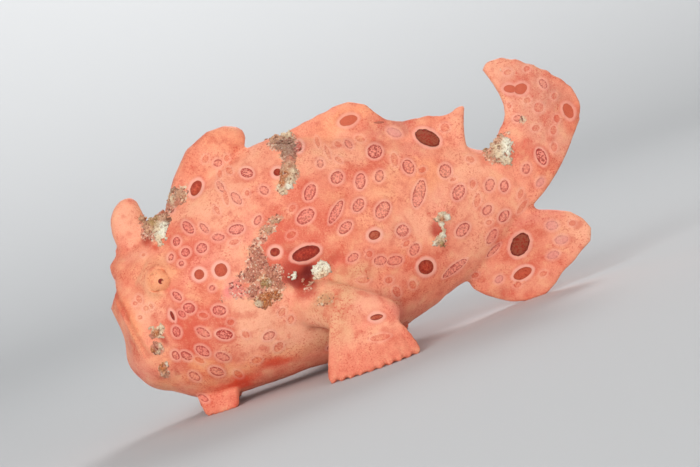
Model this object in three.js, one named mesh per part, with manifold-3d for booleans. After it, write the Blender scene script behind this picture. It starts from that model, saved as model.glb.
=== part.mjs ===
// Life-size painted frogfish, resting on its pelvic, pectoral and anal fins.
// Millimetres. The head points to -X, the back is up along +Z, and the floor is at z = 0.
import * as THREE from "three";
import { mergeVertices } from "three/addons/utils/BufferGeometryUtils.js";
import Module from "manifold-3d";

const wasm = await Module();
wasm.setup();

// Driving dimensions. Heights are above the floor, and x runs back from the resting point of the pelvic fins.
const gap = 0.3; // kept between parts that touch
const cellsPerRay = 2;
const nose = { x: -15.2, z: 22 };
const faceX = -8; // in front of this the body closes as an ellipse to the nose
const eye = { x: -0.6, z: 35.6, radius: 3.2, sunk: 1.5 };
const headEndX = 28.8;
const trunkEndX = 75;
const tailEndX = 96;
const bodySides = 40;
const upperPower = 1.8; // shape of a cross-section above its widest level, 2 being an ellipse
const lowerPower = 2.3;
const looseSkin = 0.22; // height of the low waves in the skin

// The body from the face to the tail: x, back, belly, half width, height of the widest level.
const stations = [
  [-8, 44.5, 7.8, 14.0, 23.5],
  [0, 48.5, 3.4, 16.4, 23.5],
  [7, 51.3, 2.2, 17.6, 23.5],
  [16, 55.0, 2.0, 18.3, 24.0],
  [25, 57.8, 2.0, 18.6, 24.0],
  [35, 58.8, 2.1, 18.3, 24.5],
  [45, 56.5, 2.6, 16.9, 25.5],
  [55, 53.2, 5.0, 14.2, 26.5],
  [65, 49.2, 8.0, 11.0, 27.5],
  [75, 44.6, 11.6, 7.8, 28.3],
  [83, 40.4, 15.9, 5.5, 28.6],
  [90, 36.6, 20.4, 4.1, 28.6],
  [96, 33.0, 23.5, 3.4, 28.4],
];
const stationTrack = new THREE.CubicInterpolant(
  stations.map((row) => row[0]),
  stations.flatMap((row) => row.slice(1)),
  4,
  new Array(4),
);

// Swellings and hollows of the body's surface, alike on both sides: place, reach along x, y and z, height.
const swellings = {
  snout: { at: [-11.4, 0, 42.0], reach: [2.4, 3.6, 2.2], height: 1.2 },
  mouthNotch: { at: [-13.2, 0, 37.2], reach: [2.8, 4.4, 2.4], height: -2.2 },
  jawTip: { at: [-14.5, 0, 32.4], reach: [3.0, 6.5, 2.8], height: 1.4 },
  jawHollow: { at: [-15.2, 0, 25.5], reach: [4.0, 8.5, 3.8], height: -0.9 },
  chin: { at: [-14.9, 0, 17.2], reach: [4.0, 6.5, 3.6], height: 1.2 },
  throat: { at: [-10.6, 0, 8.6], reach: [3.4, 9.0, 2.6], height: -1.1 },
  eyeMound: { at: [-0.6, 13.9, 35.6], reach: [4.8, 4.8, 4.8], height: 1.5 },
  cheek: { at: [6.0, 17.5, 21.0], reach: [9.0, 9.0, 9.0], height: 0.8 },
  jawJoint: { at: [-6.5, 13.0, 17.0], reach: [4.5, 4.5, 4.5], height: 1.0 },
  shoulder: { at: [24.0, 18.0, 27.0], reach: [9.0, 9.0, 9.0], height: 1.2 },
  armpit: { at: [35.0, 18.0, 23.5], reach: [4.2, 4.2, 4.2], height: -2.0 },
  nape: { at: [37.0, 0, 58.0], reach: [6.0, 6.0, 6.0], height: 0.6 },
  belly: { at: [40.0, 10.0, 6.0], reach: [10.0, 10.0, 10.0], height: 0.8 },
};

// The mouth runs steeply down each side of the face from a notch under the snout to its corner.
const mouthLine = [
  [-13.0, 38.2],
  [-12.85, 37.7],
  [-12.5, 36.6],
  [-11.9, 34.0],
  [-11.3, 30.5],
  [-10.7, 27.0],
  [-10.0, 24.0],
  [-9.5, 21.5],
  [-9.2, 19.3],
];
const lip = { offset: 0.85, radius: 0.85, cornerRadius: 0.35, sunk: 0.2, sides: 6, steps: 22 };

// Crusty warts on the skin, each a few low lumps: x, z, half length, half width, turn in degrees, height.
const crusts = [
  {
    name: "pit between the second and third spines",
    side: -1,
    lumps: [
      [0.4, 48.3, 3.0, 2.6, 10, 2.6],
      [3.4, 49.0, 2.7, 2.4, 50, 2.6],
      [1.2, 45.6, 2.0, 2.2, 80, 1.3],
    ],
  },
  {
    name: "scab behind the third spine",
    side: -1,
    lumps: [
      [36.8, 58.0, 3.4, 2.2, 5, 1.3],
      [39.0, 55.0, 2.9, 2.6, 60, 1.2],
      [38.8, 52.2, 2.3, 2.2, 30, 1.1],
      [37.4, 49.2, 2.3, 2.0, 75, 1.3],
      [36.6, 46.9, 1.6, 1.4, 0, 1.2],
    ],
  },
  {
    name: "shoulder patch and the strip above it",
    side: -1,
    lumps: [
      [22.9, 24.9, 3.6, 3.4, 20, 1.0],
      [24.6, 29.0, 3.7, 3.3, 70, 1.1],
      [25.3, 32.6, 2.3, 2.4, 40, 0.9],
      [27.3, 35.8, 2.4, 1.7, 60, 0.9],
      [29.7, 38.4, 2.2, 1.3, 35, 0.8],
    ],
  },
  {
    name: "pale wart in the armpit",
    side: -1,
    lumps: [
      [37.2, 25.2, 2.2, 2.0, 0, 2.2],
      [39.0, 24.6, 1.7, 1.8, 40, 1.9],
      [31.0, 26.6, 1.1, 0.9, 20, 1.0],
    ],
  },
  {
    name: "winding scab before the tail",
    side: -1,
    lumps: [
      [70.8, 28.5, 1.4, 1.0, 60, 1.1],
      [69.2, 26.3, 1.5, 1.0, 40, 1.0],
      [67.8, 24.5, 1.4, 0.9, 70, 1.0],
      [67.1, 22.6, 1.3, 1.0, 95, 1.0],
      [67.6, 20.6, 1.5, 1.1, 100, 1.1],
    ],
  },
  {
    name: "pair at the corner of the mouth",
    side: -1,
    lumps: [
      [-5.4, 24.2, 1.9, 1.6, 30, 1.1],
      [-6.9, 20.4, 1.7, 1.7, 0, 1.1],
    ],
  },
  { name: "wart on the chin", side: -1, lumps: [[-6.6, 14.8, 1.5, 1.4, 0, 1.0]] },
  {
    name: "far flank",
    side: 1,
    lumps: [
      [14.5, 36.0, 2.3, 1.8, 30, 1.2],
      [16.8, 33.6, 1.8, 1.5, 70, 1.1],
      [44.0, 40.0, 2.7, 2.0, 20, 1.2],
      [46.6, 38.0, 2.0, 1.6, 60, 1.1],
      [58.0, 24.0, 2.0, 1.5, 80, 1.1],
      [-5.5, 23.0, 1.6, 1.3, 20, 1.0],
      [26.0, 46.5, 1.9, 1.5, 0, 1.0],
    ],
  },
];
const tailCrusts = [
  [86.6, -3.3, 36.6, 2.6, 2.2, 20, 1.6],
  [89.6, -3.0, 37.4, 2.6, 2.4, 70, 1.9],
  [88.8, -3.2, 34.2, 2.1, 1.8, 40, 1.4],
];
const spineCrusts = [
  [8.9, -1.9, 52.6, 1.8, 2.2, 40, 1.4],
  [7.2, -1.7, 50.4, 1.6, 1.5, 10, 1.2],
];

const floorCut = 60; // depth of the block that trims what reaches below the floor

function solid(geometry) {
  geometry.deleteAttribute("normal");
  geometry.deleteAttribute("uv");
  const merged = mergeVertices(geometry, 1e-4);
  const vertProperties = new Float32Array(merged.getAttribute("position").array);
  const triVerts = new Uint32Array(merged.index.array);
  const made = new wasm.Manifold(new wasm.Mesh({ numProp: 3, vertProperties, triVerts }));
  if (made.volume() > 0) return made;
  for (let i = 0; i < triVerts.length; i += 3) {
    [triVerts[i + 1], triVerts[i + 2]] = [triVerts[i + 2], triVerts[i + 1]];
  }
  return new wasm.Manifold(new wasm.Mesh({ numProp: 3, vertProperties, triVerts }));
}

function largest(made) {
  return made.decompose().sort((a, b) => b.volume() - a.volume())[0];
}

function geometryOf(made) {
  const mesh = largest(made).getMesh();
  const points = [];
  for (let i = 0; i < mesh.numVert; i++) {
    points.push(...mesh.vertProperties.subarray(i * mesh.numProp, i * mesh.numProp + 3));
  }
  const geometry = new THREE.BufferGeometry();
  geometry.setAttribute("position", new THREE.Float32BufferAttribute(points, 3));
  geometry.setIndex(Array.from(mesh.triVerts));
  geometry.computeVertexNormals();
  return geometry;
}

function gridGeometry(points, faces) {
  const geometry = new THREE.BufferGeometry();
  geometry.setAttribute("position", new THREE.Float32BufferAttribute(points.flatMap((p) => p.toArray()), 3));
  geometry.setIndex(faces);
  return geometry;
}

// A closed skin over rings of equal length, each end closed to the middle of its ring.
function skinOver(rings) {
  const sides = rings[0].length;
  const points = rings.flat();
  const middle = (ring) => ring.reduce((sum, p) => sum.add(p), new THREE.Vector3()).divideScalar(sides);
  const front = points.push(middle(rings[0])) - 1;
  const back = points.push(middle(rings.at(-1))) - 1;
  const lastRow = (rings.length - 1) * sides;
  const faces = [];
  for (let i = 0; i < sides; i++) {
    const next = (i + 1) % sides;
    faces.push(front, next, i, back, lastRow + i, lastRow + next);
    for (let row = 0; row < lastRow; row += sides) {
      faces.push(row + i, row + next, row + sides + i);
      faces.push(row + next, row + sides + next, row + sides + i);
    }
  }
  return solid(gridGeometry(points, faces));
}

// A blade with two like faces, from its middle surface, place(across, along), and its thickness there.
function blade({ cellsAcross, cellsAlong, place, thickness }) {
  const points = [];
  const columns = cellsAcross + 1;
  const count = columns * (cellsAlong + 1);
  const step = 1e-3;
  for (const side of [1, -1]) {
    for (let j = 0; j <= cellsAlong; j++) {
      for (let i = 0; i <= cellsAcross; i++) {
        const [v, s] = [i / cellsAcross, j / cellsAlong];
        const acrossWay = place(Math.min(1, v + step), s).sub(place(Math.max(0, v - step), s));
        const alongWay = place(v, Math.min(1, s + step)).sub(place(v, Math.max(0, s - step)));
        const out = acrossWay.cross(alongWay).normalize();
        points.push(place(v, s).addScaledVector(out, (side * thickness(v, s)) / 2));
      }
    }
  }
  const faces = [];
  const wall = (a, b) => faces.push(a, b, a + count, b, b + count, a + count);
  for (let j = 0; j < cellsAlong; j++) {
    for (let i = 0; i < cellsAcross; i++) {
      const a = j * columns + i;
      const [b, c, d] = [a + 1, a + columns + 1, a + columns];
      faces.push(a, b, c, a, c, d);
      faces.push(a + count, c + count, b + count, a + count, d + count, c + count);
    }
  }
  for (let i = 0; i < cellsAcross; i++) {
    wall(i + 1, i);
    wall(cellsAlong * columns + i, cellsAlong * columns + i + 1);
  }
  for (let j = 0; j < cellsAlong; j++) {
    wall(j * columns, (j + 1) * columns);
    wall((j + 1) * columns + cellsAcross, j * columns + cellsAcross);
  }
  return solid(gridGeometry(points, faces));
}

function block(from, to) {
  const size = new THREE.Vector3().subVectors(to, from);
  const centre = new THREE.Vector3().addVectors(from, to).multiplyScalar(0.5);
  return solid(new THREE.BoxGeometry(...size.toArray()).translate(...centre.toArray()));
}

// A block that fills the slab of space between two x values.
function between(x0, x1) {
  return block(new THREE.Vector3(x0, -100, -100), new THREE.Vector3(x1, 100, 200));
}

// A big block whose face holds the point and whose material lies on the side that the normal points to.
function beyond(point, normal) {
  const size = 200;
  const turn = new THREE.Quaternion().setFromUnitVectors(new THREE.Vector3(0, 0, 1), normal);
  const geometry = new THREE.BoxGeometry(size, size, size).translate(0, 0, size / 2);
  return solid(geometry.applyQuaternion(turn).translate(...point.toArray()));
}

const belowFloor = block(new THREE.Vector3(-100, -100, -floorCut), new THREE.Vector3(200, 100, 0));

// Cross-section of the body at x.
function section(x) {
  const [back, belly, half, widest] = stationTrack.evaluate(Math.max(x, faceX));
  if (x >= faceX) return { back, belly, half, widest };
  const q = (faceX - x) / (faceX - nose.x);
  const share = Math.sqrt(Math.max(0, 1 - q * q));
  const toNose = (z) => nose.z + share * (z - nose.z);
  return { back: toNose(back), belly: toNose(belly), half: half * share, widest: toNose(widest) };
}

function plainPoint(x, angle) {
  const { back, belly, half, widest } = section(x);
  const [across, up] = [Math.cos(angle), Math.sin(angle)];
  const power = 2 / (up >= 0 ? upperPower : lowerPower);
  const rise = up >= 0 ? back - widest : widest - belly;
  const y = half * Math.sign(across) * Math.abs(across) ** power;
  const z = widest + rise * Math.sign(up) * Math.abs(up) ** power;
  return new THREE.Vector3(x, y, z);
}

function swell(point) {
  const place = new THREE.Vector3(point.x, Math.abs(point.y), point.z);
  let height = looseSkin * Math.sin(point.x * 0.42 + 1) * Math.sin(point.z * 0.37 + 0.5 * point.y);
  for (const { at, reach, height: rise } of Object.values(swellings)) {
    const away = place.clone().sub(new THREE.Vector3(...at)).divide(new THREE.Vector3(...reach));
    height += rise * Math.exp(-away.lengthSq());
  }
  return height;
}

// A point of the body's surface with its outward normal. grow thickens the body by that much.
function skinPoint(x, angle, grow = 0) {
  const step = 1e-3;
  const at = plainPoint(x, angle);
  const round = plainPoint(x, angle + step).sub(plainPoint(x, angle - step));
  const ahead = plainPoint(x + step, angle).sub(plainPoint(Math.max(nose.x, x - step), angle));
  const normal = round.cross(ahead).normalize();
  if (!(normal.length() > 0.5)) normal.set(-1, 0, 0);
  return { point: at.clone().addScaledVector(normal, swell(at) + grow), normal };
}

// The angle of the cross-section at x whose plain point is at height z, on the side of -Y or +Y.
function angleAt(x, z, side) {
  const { back, belly, widest } = section(x);
  const up = z >= widest;
  const share = Math.min(1, Math.abs(z - widest) / (up ? back - widest : widest - belly));
  const angle = Math.asin(share ** ((up ? upperPower : lowerPower) / 2)) * (up ? 1 : -1);
  return side > 0 ? angle : Math.PI - angle;
}

function skinAt(x, z, side, grow = 0) {
  return skinPoint(x, angleAt(x, z, side), grow);
}

// Ring places, close together at the nose and wider along the trunk.
const ringPlaces = [];
const faceRings = 10;
const headRingStep = 2.4;
const trunkRingStep = 3.3;
for (let i = 1; i <= faceRings; i++) {
  const turn = (i / faceRings) * (Math.PI / 2);
  ringPlaces.push(faceX - (faceX - nose.x) * Math.cos(turn));
}
for (let x = faceX + 1.6; x < headEndX; x += headRingStep) {
  ringPlaces.push(x);
}
for (let x = headEndX + 0.9; x < tailEndX; x += trunkRingStep) {
  ringPlaces.push(x);
}
ringPlaces.push(tailEndX);

function wholeBody(grow) {
  const rings = ringPlaces.map((x) =>
    Array.from({ length: bodySides }, (_, i) => skinPoint(x, (i / bodySides) * 2 * Math.PI, grow).point),
  );
  return skinOver(rings);
}

// A fixed hash of a place, from 0 to 1.
function grain(point, seed) {
  const mixed = Math.sin(point.x * 12.9898 + point.y * 78.233 + point.z * 37.719 + seed * 4.137) * 43758.5453;
  return mixed - Math.floor(mixed);
}

// One rough, low lump with its root sunk below the surface at the point.
function lump(point, normal, [length, width, turn, height], grow) {
  const rough = 0.28;
  const plain = new THREE.OctahedronGeometry(1, 1);
  plain.deleteAttribute("normal");
  plain.deleteAttribute("uv");
  const geometry = mergeVertices(plain);
  const places = geometry.getAttribute("position");
  const seed = point.x + point.z;
  for (let i = 0; i < places.count; i++) {
    const at = new THREE.Vector3().fromBufferAttribute(places, i);
    at.multiplyScalar(1 - rough * grain(at, seed));
    places.setXYZ(i, ...at.toArray());
  }
  geometry.scale(length + grow, width + grow, height + grow);
  geometry.rotateZ(THREE.MathUtils.degToRad(turn));
  const stand = new THREE.Quaternion().setFromUnitVectors(new THREE.Vector3(0, 0, 1), normal);
  geometry.applyQuaternion(stand).translate(...point.toArray());
  return solid(geometry);
}

function withCrusts(made, grow) {
  for (const { side, lumps } of crusts) {
    for (const [x, z, ...size] of lumps) {
      const { point, normal } = skinAt(x, z, side);
      made = made.add(lump(point, normal, size, grow));
    }
  }
  return made;
}

function withFreeCrusts(made, places, normal) {
  for (const [x, y, z, ...size] of places) {
    made = made.add(lump(new THREE.Vector3(x, y, z), normal, size, 0));
  }
  return made;
}

const leftward = new THREE.Vector3(0, -1, 0);
const upward = new THREE.Vector3(0, 0, 1);
const body = withFreeCrusts(withCrusts(wholeBody(0), 0), tailCrusts, leftward);
const grownBody = withCrusts(wholeBody(gap), gap);

// The tail fin springs from a slanted plane at the end of the stalk.
const tailPlane = {
  point: new THREE.Vector3(88.5, 0, 31),
  normal: new THREE.Vector3(0.918, 0, 0.397).normalize(),
};

// The lower jaw is what lies in front of the mouth line and of its run from the corner to the throat.
const jawCut = new THREE.CatmullRomCurve3(
  [[-22, 38.6], [-14, 38.0], ...mouthLine.slice(1), [-9.6, 15.5], [-11.4, 11.5], [-15, 6], [-19, 1]].map(
    ([x, z]) => new THREE.Vector3(x, z, 0),
  ),
);

function jawBlock(shift) {
  const edge = jawCut.getPoints(44).map((p) => new THREE.Vector2(p.x + shift, p.y - 0.5 * shift));
  const outline = new THREE.Shape([...edge, new THREE.Vector2(-40, 1), new THREE.Vector2(-40, 38.6)]);
  const geometry = new THREE.ExtrudeGeometry(outline, { depth: 80, bevelEnabled: false });
  geometry.translate(0, 0, -40).rotateX(Math.PI / 2);
  return solid(geometry);
}

// A lip is a roll of skin beside the mouth line, from corner to corner.
function lipRoll(shift) {
  const leftHalf = mouthLine.slice(1).reverse();
  const line = [...leftHalf.map((at) => [...at, -1]), ...mouthLine.map((at) => [...at, 1])];
  const places = line.map(([x, z, side]) => skinAt(x, Math.min(z, section(x).back), side));
  const path = new THREE.CatmullRomCurve3(places.map(({ point }) => point));
  const outward = new THREE.CatmullRomCurve3(places.map(({ normal }) => normal));
  return skinOver(
    Array.from({ length: lip.steps + 1 }, (_, i) => {
      const share = i / lip.steps;
      const normal = outward.getPoint(share).normalize();
      const flat = path.getTangent(share).cross(normal).normalize();
      const toCorner = Math.abs(2 * share - 1) ** 4;
      const radius = lip.radius + (lip.cornerRadius - lip.radius) * toCorner;
      const middle = path.getPoint(share).addScaledVector(flat, shift).addScaledVector(normal, -lip.sunk);
      return Array.from({ length: lip.sides }, (_, side) => {
        const angle = (side / lip.sides) * 2 * Math.PI;
        return middle
          .clone()
          .addScaledVector(flat, radius * Math.cos(angle))
          .addScaledVector(normal, radius * Math.sin(angle));
      });
    }),
  );
}

const headAndJaw = body.intersect(between(-100, headEndX - gap / 2));
let head = headAndJaw.add(lipRoll(lip.offset)).subtract(jawBlock(gap / 2));
const lowerJaw = headAndJaw.add(lipRoll(-lip.offset)).intersect(jawBlock(-gap / 2));
let trunk = body.intersect(between(headEndX + gap / 2, trunkEndX - gap / 2));
const tailStalk = body
  .intersect(between(trunkEndX + gap / 2, 200))
  .subtract(beyond(tailPlane.point, tailPlane.normal));

// A ring of skin that lies on the surface.
function skinRing(point, normal, radius, thickness, sides) {
  const geometry = new THREE.TorusGeometry(radius, thickness, 5, sides);
  const stand = new THREE.Quaternion().setFromUnitVectors(new THREE.Vector3(0, 0, 1), normal);
  return solid(geometry.applyQuaternion(stand).translate(...point.toArray()));
}

const eyes = [-1, 1].map((side) => {
  const { point, normal } = skinAt(eye.x, eye.z, side);
  const centre = point.clone().addScaledVector(normal, -eye.sunk);
  const ball = (radius) => solid(new THREE.SphereGeometry(radius, 18, 9).translate(...centre.toArray()));
  const fold = skinRing(point.clone().addScaledVector(normal, -0.1), normal, eye.radius - 0.1, 0.7, 20);
  head = head.add(fold).subtract(ball(eye.radius + gap));
  return ball(eye.radius);
});

const nostril = { x: -9.3, z: 42.2, radius: 0.8, rim: 0.4 };
for (const side of [-1, 1]) {
  const { point, normal } = skinAt(nostril.x, nostril.z, side);
  head = head.add(skinRing(point, normal, nostril.radius, nostril.rim, 10));
}

// A stack of upright oval rings: height, middle x, half length, half thickness.
function ovalStack(rows, sides) {
  return skinOver(
    rows.map(([z, x, length, thick]) =>
      Array.from({ length: sides }, (_, i) => {
        const angle = (i / sides) * 2 * Math.PI;
        return new THREE.Vector3(x + length * Math.cos(angle), thick * Math.sin(angle), z);
      }),
    ),
  );
}

const uncutSecondSpine = ovalStack(
  [
    [42.0, -3.2, 5.6, 3.8],
    [46.0, -4.0, 4.9, 3.3],
    [50.0, -4.6, 4.5, 2.9],
    [53.4, -4.3, 4.0, 2.5],
    [55.8, -3.6, 2.9, 1.9],
    [57.1, -3.1, 1.2, 0.9],
  ],
  14,
);
const secondSpine = uncutSecondSpine.subtract(grownBody);

// A limb over rings set square to its path: place, half breadth in the path's plane, half thickness.
function ovalSweep(rows, sides, across) {
  const path = new THREE.CatmullRomCurve3(rows.map((row) => new THREE.Vector3(...row[0])));
  return skinOver(
    rows.map(([at, breadth, thick], row) => {
      const way = path.getTangent(row / (rows.length - 1));
      const flat = new THREE.Vector3().crossVectors(across, way).normalize();
      const deep = new THREE.Vector3().crossVectors(way, flat).normalize();
      return Array.from({ length: sides }, (_, i) => {
        const angle = (i / sides) * 2 * Math.PI;
        return new THREE.Vector3(...at)
          .addScaledVector(flat, breadth * Math.cos(angle))
          .addScaledVector(deep, thick * Math.sin(angle));
      });
    }),
  );
}

const sideways = new THREE.Vector3(0, 1, 0);
const uncutThirdSpine = ovalSweep(
  [
    [[11.2, 0, 47.5], 7.0, 5.2],
    [[14.5, 0, 54.4], 5.8, 4.3],
    [[18.7, 0, 58.7], 5.9, 3.6],
    [[23.5, 0, 61.2], 5.3, 3.1],
    [[27.0, 0, 62.3], 4.0, 2.6],
    [[29.2, 0, 62.7], 2.4, 1.8],
    [[30.2, 0, 62.8], 0.9, 0.8],
  ],
  16,
  sideways,
);
const thirdSpine = withFreeCrusts(uncutThirdSpine, spineCrusts, leftward).subtract(grownBody);

function flatCurve(points) {
  return new THREE.CatmullRomCurve3(points.map(([x, z]) => new THREE.Vector3(x, 0, z)));
}

function curve(points) {
  return new THREE.CatmullRomCurve3(points.map((p) => new THREE.Vector3(...p)));
}

// The lure: a thin rod from the snout, folded back along the right side of the second spine, and its tuft.
const rod = { radius: 0.32, sides: 6, steps: 14 };
const rodPath = curve([
  [-9.7, 0.3, 43.0],
  [-9.6, 0.9, 45.4],
  [-8.0, 3.2, 47.2],
  [-4.5, 4.6, 47.9],
  [-0.5, 4.9, 48.3],
  [3.6, 4.7, 49.8],
]);
const tuft = [
  [3.4, 4.8, 50.2, 1.1],
  [4.4, 4.4, 51.0, 0.8],
  [4.2, 5.3, 50.6, 0.8],
];

function lureRod() {
  const rows = Array.from({ length: rod.steps + 1 }, (_, i) => {
    const share = i / rod.steps;
    const radius = rod.radius * (1.25 - 0.25 * share);
    return [rodPath.getPoint(share).toArray(), radius, radius];
  });
  let made = ovalSweep(rows, rod.sides, new THREE.Vector3(0, 0, 1));
  for (const [x, y, z, radius] of tuft) {
    made = made.add(lump(new THREE.Vector3(x, y, z), upward, [radius, radius, 0, radius], 0));
  }
  return made.subtract(grownBody);
}

function halfway(from, to) {
  return from.clone().add(to).multiplyScalar(0.5);
}

// A fin whose rays run from its root curve to its margin as raised ridges that taper to notched tips.
function rayedFin({ rays, root, bend, margin, rootThickness, tipThickness, ridge, notch, cellsAlong }) {
  const place = (v, s) => {
    const from = root.getPointAt(v);
    const to = margin.getPointAt(v);
    const reach = s * (1 - notch * s * s * (0.5 - 0.5 * Math.cos(2 * Math.PI * (rays * v - 0.5))));
    const middle = bend ? bend(v, from, to) : halfway(from, to);
    return from
      .multiplyScalar((1 - reach) ** 2)
      .addScaledVector(middle, 2 * reach * (1 - reach))
      .addScaledVector(to, reach * reach);
  };
  const thickness = (v, s) => {
    const membrane = tipThickness + (rootThickness - tipThickness) * (1 - s) ** 1.8;
    const onRay = (0.5 + 0.5 * Math.cos(2 * Math.PI * (rays * v - 0.5))) ** 2;
    return membrane + ridge * onRay * Math.min(1, 4 * s) * (1 - 0.5 * s);
  };
  return blade({ cellsAcross: rays * cellsPerRay, cellsAlong, place, thickness });
}

const dorsalFin = rayedFin({
  rays: 12,
  root: flatCurve([
    [37, 56.5],
    [50, 53],
    [62.5, 48.2],
    [75, 42.5],
    [81.5, 39],
  ]),
  margin: flatCurve([
    [39, 59.2],
    [45, 60.3],
    [51, 61.2],
    [56.5, 61.8],
    [61, 59.6],
    [64, 55.2],
    [67, 53.1],
    [71.2, 52.3],
    [75.5, 51.8],
    [79, 50.4],
    [82, 51.2],
    [84.6, 51.7],
  ]),
  bend: (v, from, to) => halfway(from, to).add(new THREE.Vector3(-2 * v ** 6, 0, -1.2 * v ** 6)),
  rootThickness: 5.4,
  tipThickness: 1.1,
  ridge: 0.9,
  notch: 0.02,
  cellsAlong: 6,
}).subtract(grownBody);

const analFin = rayedFin({
  rays: 7,
  root: flatCurve([
    [71, 12.5],
    [76, 14],
    [81, 17],
    [86, 20.0],
    [90.6, 21.0],
  ]),
  bend: (v, from, to) => halfway(from, to).add(new THREE.Vector3(0, 0, 0.9 * v ** 6)),
  margin: flatCurve([
    [71.5, 7.2],
    [75, 3.8],
    [79, 1.2],
    [84, -0.5],
    [88.2, -0.5],
    [92.2, 2.2],
    [96.6, 4.9],
    [100.8, 7.2],
    [104, 9.6],
    [104.7, 12],
    [103.4, 14.6],
    [101.0, 17.2],
  ]),
  rootThickness: 6.5,
  tipThickness: 1.2,
  ridge: 1.0,
  notch: 0.02,
  cellsAlong: 7,
})
  .subtract(grownBody)
  .subtract(belowFloor);

const uncutTailFin = rayedFin({
  rays: 9,
  root: flatCurve([
    [84.2, 38.2],
    [86.4, 33],
    [88.8, 27],
    [90.8, 21.8],
  ]),
  bend: (v, from, to) =>
    halfway(from, to)
      .add(new THREE.Vector3(10.9 * (1 - v) ** 2, -3 * Math.sin(Math.PI * v), -8.2 * (1 - v) ** 2))
      .add(new THREE.Vector3(2.0 * v ** 4, 0, -2.4 * v ** 4)),
  margin: curve([
    [91.5, 0.6, 58.6],
    [95, 0.8, 60.0],
    [100, 1.2, 58.0],
    [104.7, 1.8, 54.6],
    [108.8, 2.2, 50.4],
    [111.3, 2.4, 46.8],
    [112.2, 2.2, 42.6],
    [111.4, 1.8, 39.8],
    [109.4, 1.4, 37.4],
  ]),
  rootThickness: 7.2,
  tipThickness: 1.2,
  ridge: 1.0,
  notch: 0.012,
  cellsAlong: 9,
});
const tailSpace = beyond(tailPlane.point.clone().addScaledVector(tailPlane.normal, gap), tailPlane.normal);
const tailFin = withFreeCrusts(uncutTailFin, tailCrusts, leftward).intersect(tailSpace);

// Arm and hand of one pectoral fin. side is -1 on the fish's left, which is towards -Y.
// The arm is a broad lobe that runs back and down, and the hand fans out from its lower edge on the floor.
function pectoral(side) {
  const y = (points) => points.map(([x, out, z]) => [x, side * out, z]);
  const arm = ovalSweep(
    [
      [[29.0, side * 13.0, 19.6], 5.6, 5.2],
      [[33.0, side * 17.5, 18.6], 5.8, 4.9],
      [[38.0, side * 21.3, 16.3], 5.8, 4.3],
      [[42.8, side * 23.6, 13.4], 5.5, 3.7],
      [[46.8, side * 24.7, 11.2], 5.2, 3.1],
      [[49.8, side * 24.9, 9.8], 4.0, 2.4],
      [[51.4, side * 25.0, 9.1], 2.2, 1.4],
    ],
    16,
    sideways,
  );
  const wrist = curve(y([[49.4, 24.6, 10.2], [45.0, 24.6, 10.0], [40.0, 24.0, 11.0], [35.5, 22.6, 12.6]]));
  const knuckles = curve(y([[52.6, 27.4, 5.6], [46.8, 28.6, 5.4], [40.2, 28.6, 6.2], [33.4, 26.6, 7.4]]));
  const under = -0.3; // the tips reach below the floor, which cuts them flat
  const tips = curve(
    y([
      [53.8, 29.4, under],
      [48.4, 32.2, under],
      [41.6, 33.4, under],
      [35.0, 32.6, under],
      [30.4, 30.0, under],
    ]),
  );
  const hand = rayedFin({
    rays: 10,
    root: wrist,
    bend: (v) => knuckles.getPointAt(v),
    margin: tips,
    rootThickness: 4.4,
    tipThickness: 1.2,
    ridge: 0.9,
    notch: 0.1,
    cellsAlong: 7,
  });
  const limb = arm.add(hand).subtract(belowFloor);
  const wristPoint = new THREE.Vector3(43.0, side * 25.6, 8.8);
  const wristWay = new THREE.Vector3(-0.12, side * 0.42, -0.9).normalize();
  const handSpace = beyond(wristPoint.clone().addScaledVector(wristWay, gap), wristWay);
  return {
    arm: limb.subtract(beyond(wristPoint, wristWay)).subtract(grownBody),
    hand: limb.intersect(handSpace).subtract(grownBody),
  };
}

function pelvic(side) {
  const y = (points) => points.map(([x, out, z]) => [x, side * out, z]);
  const knuckles = curve(y([[-2.0, 7.0, 4.4], [3.6, 8.9, 4.6], [8.8, 9.2, 4.4]]));
  return rayedFin({
    rays: 5,
    root: curve(y([[-1.4, 4.0, 7.4], [3.2, 5.0, 6.6], [8.4, 6.0, 6.2]])),
    bend: (v) => knuckles.getPointAt(v),
    margin: curve(y([[-0.8, 8.6, -0.3], [2.8, 10.6, -0.3], [7.0, 11.0, -0.3]])),
    rootThickness: 5.0,
    tipThickness: 1.3,
    ridge: 0.8,
    notch: 0.08,
    cellsAlong: 6,
  })
    .subtract(belowFloor)
    .subtract(grownBody);
}

// The gill opening is a small pore with a raised rim, low behind the root of each arm.
const gillPore = { x: 40.5, z: 13.5, radius: 0.9, rim: 0.45 };
for (const side of [-1, 1]) {
  const { point, normal } = skinAt(gillPore.x, gillPore.z, side);
  trunk = trunk.add(skinRing(point, normal, gillPore.radius, gillPore.rim, 10));
}

const left = { ...pectoral(-1), pelvic: pelvic(-1) };
const right = { ...pectoral(1), pelvic: pelvic(1) };

const skinColour = 0xe8826b;
const finishes = {
  skin: { color: skinColour, roughness: 0.62, metalness: 0 },
  fin: { color: 0xea8a70, roughness: 0.6, metalness: 0 },
  eye: { color: 0xd98a4a, roughness: 0.2, metalness: 0 },
};

const fish = new THREE.Group();

function part(name, made, finish) {
  const mesh = new THREE.Mesh(geometryOf(made), new THREE.MeshStandardMaterial(finishes[finish]));
  mesh.name = name;
  fish.add(mesh);
}

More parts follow.
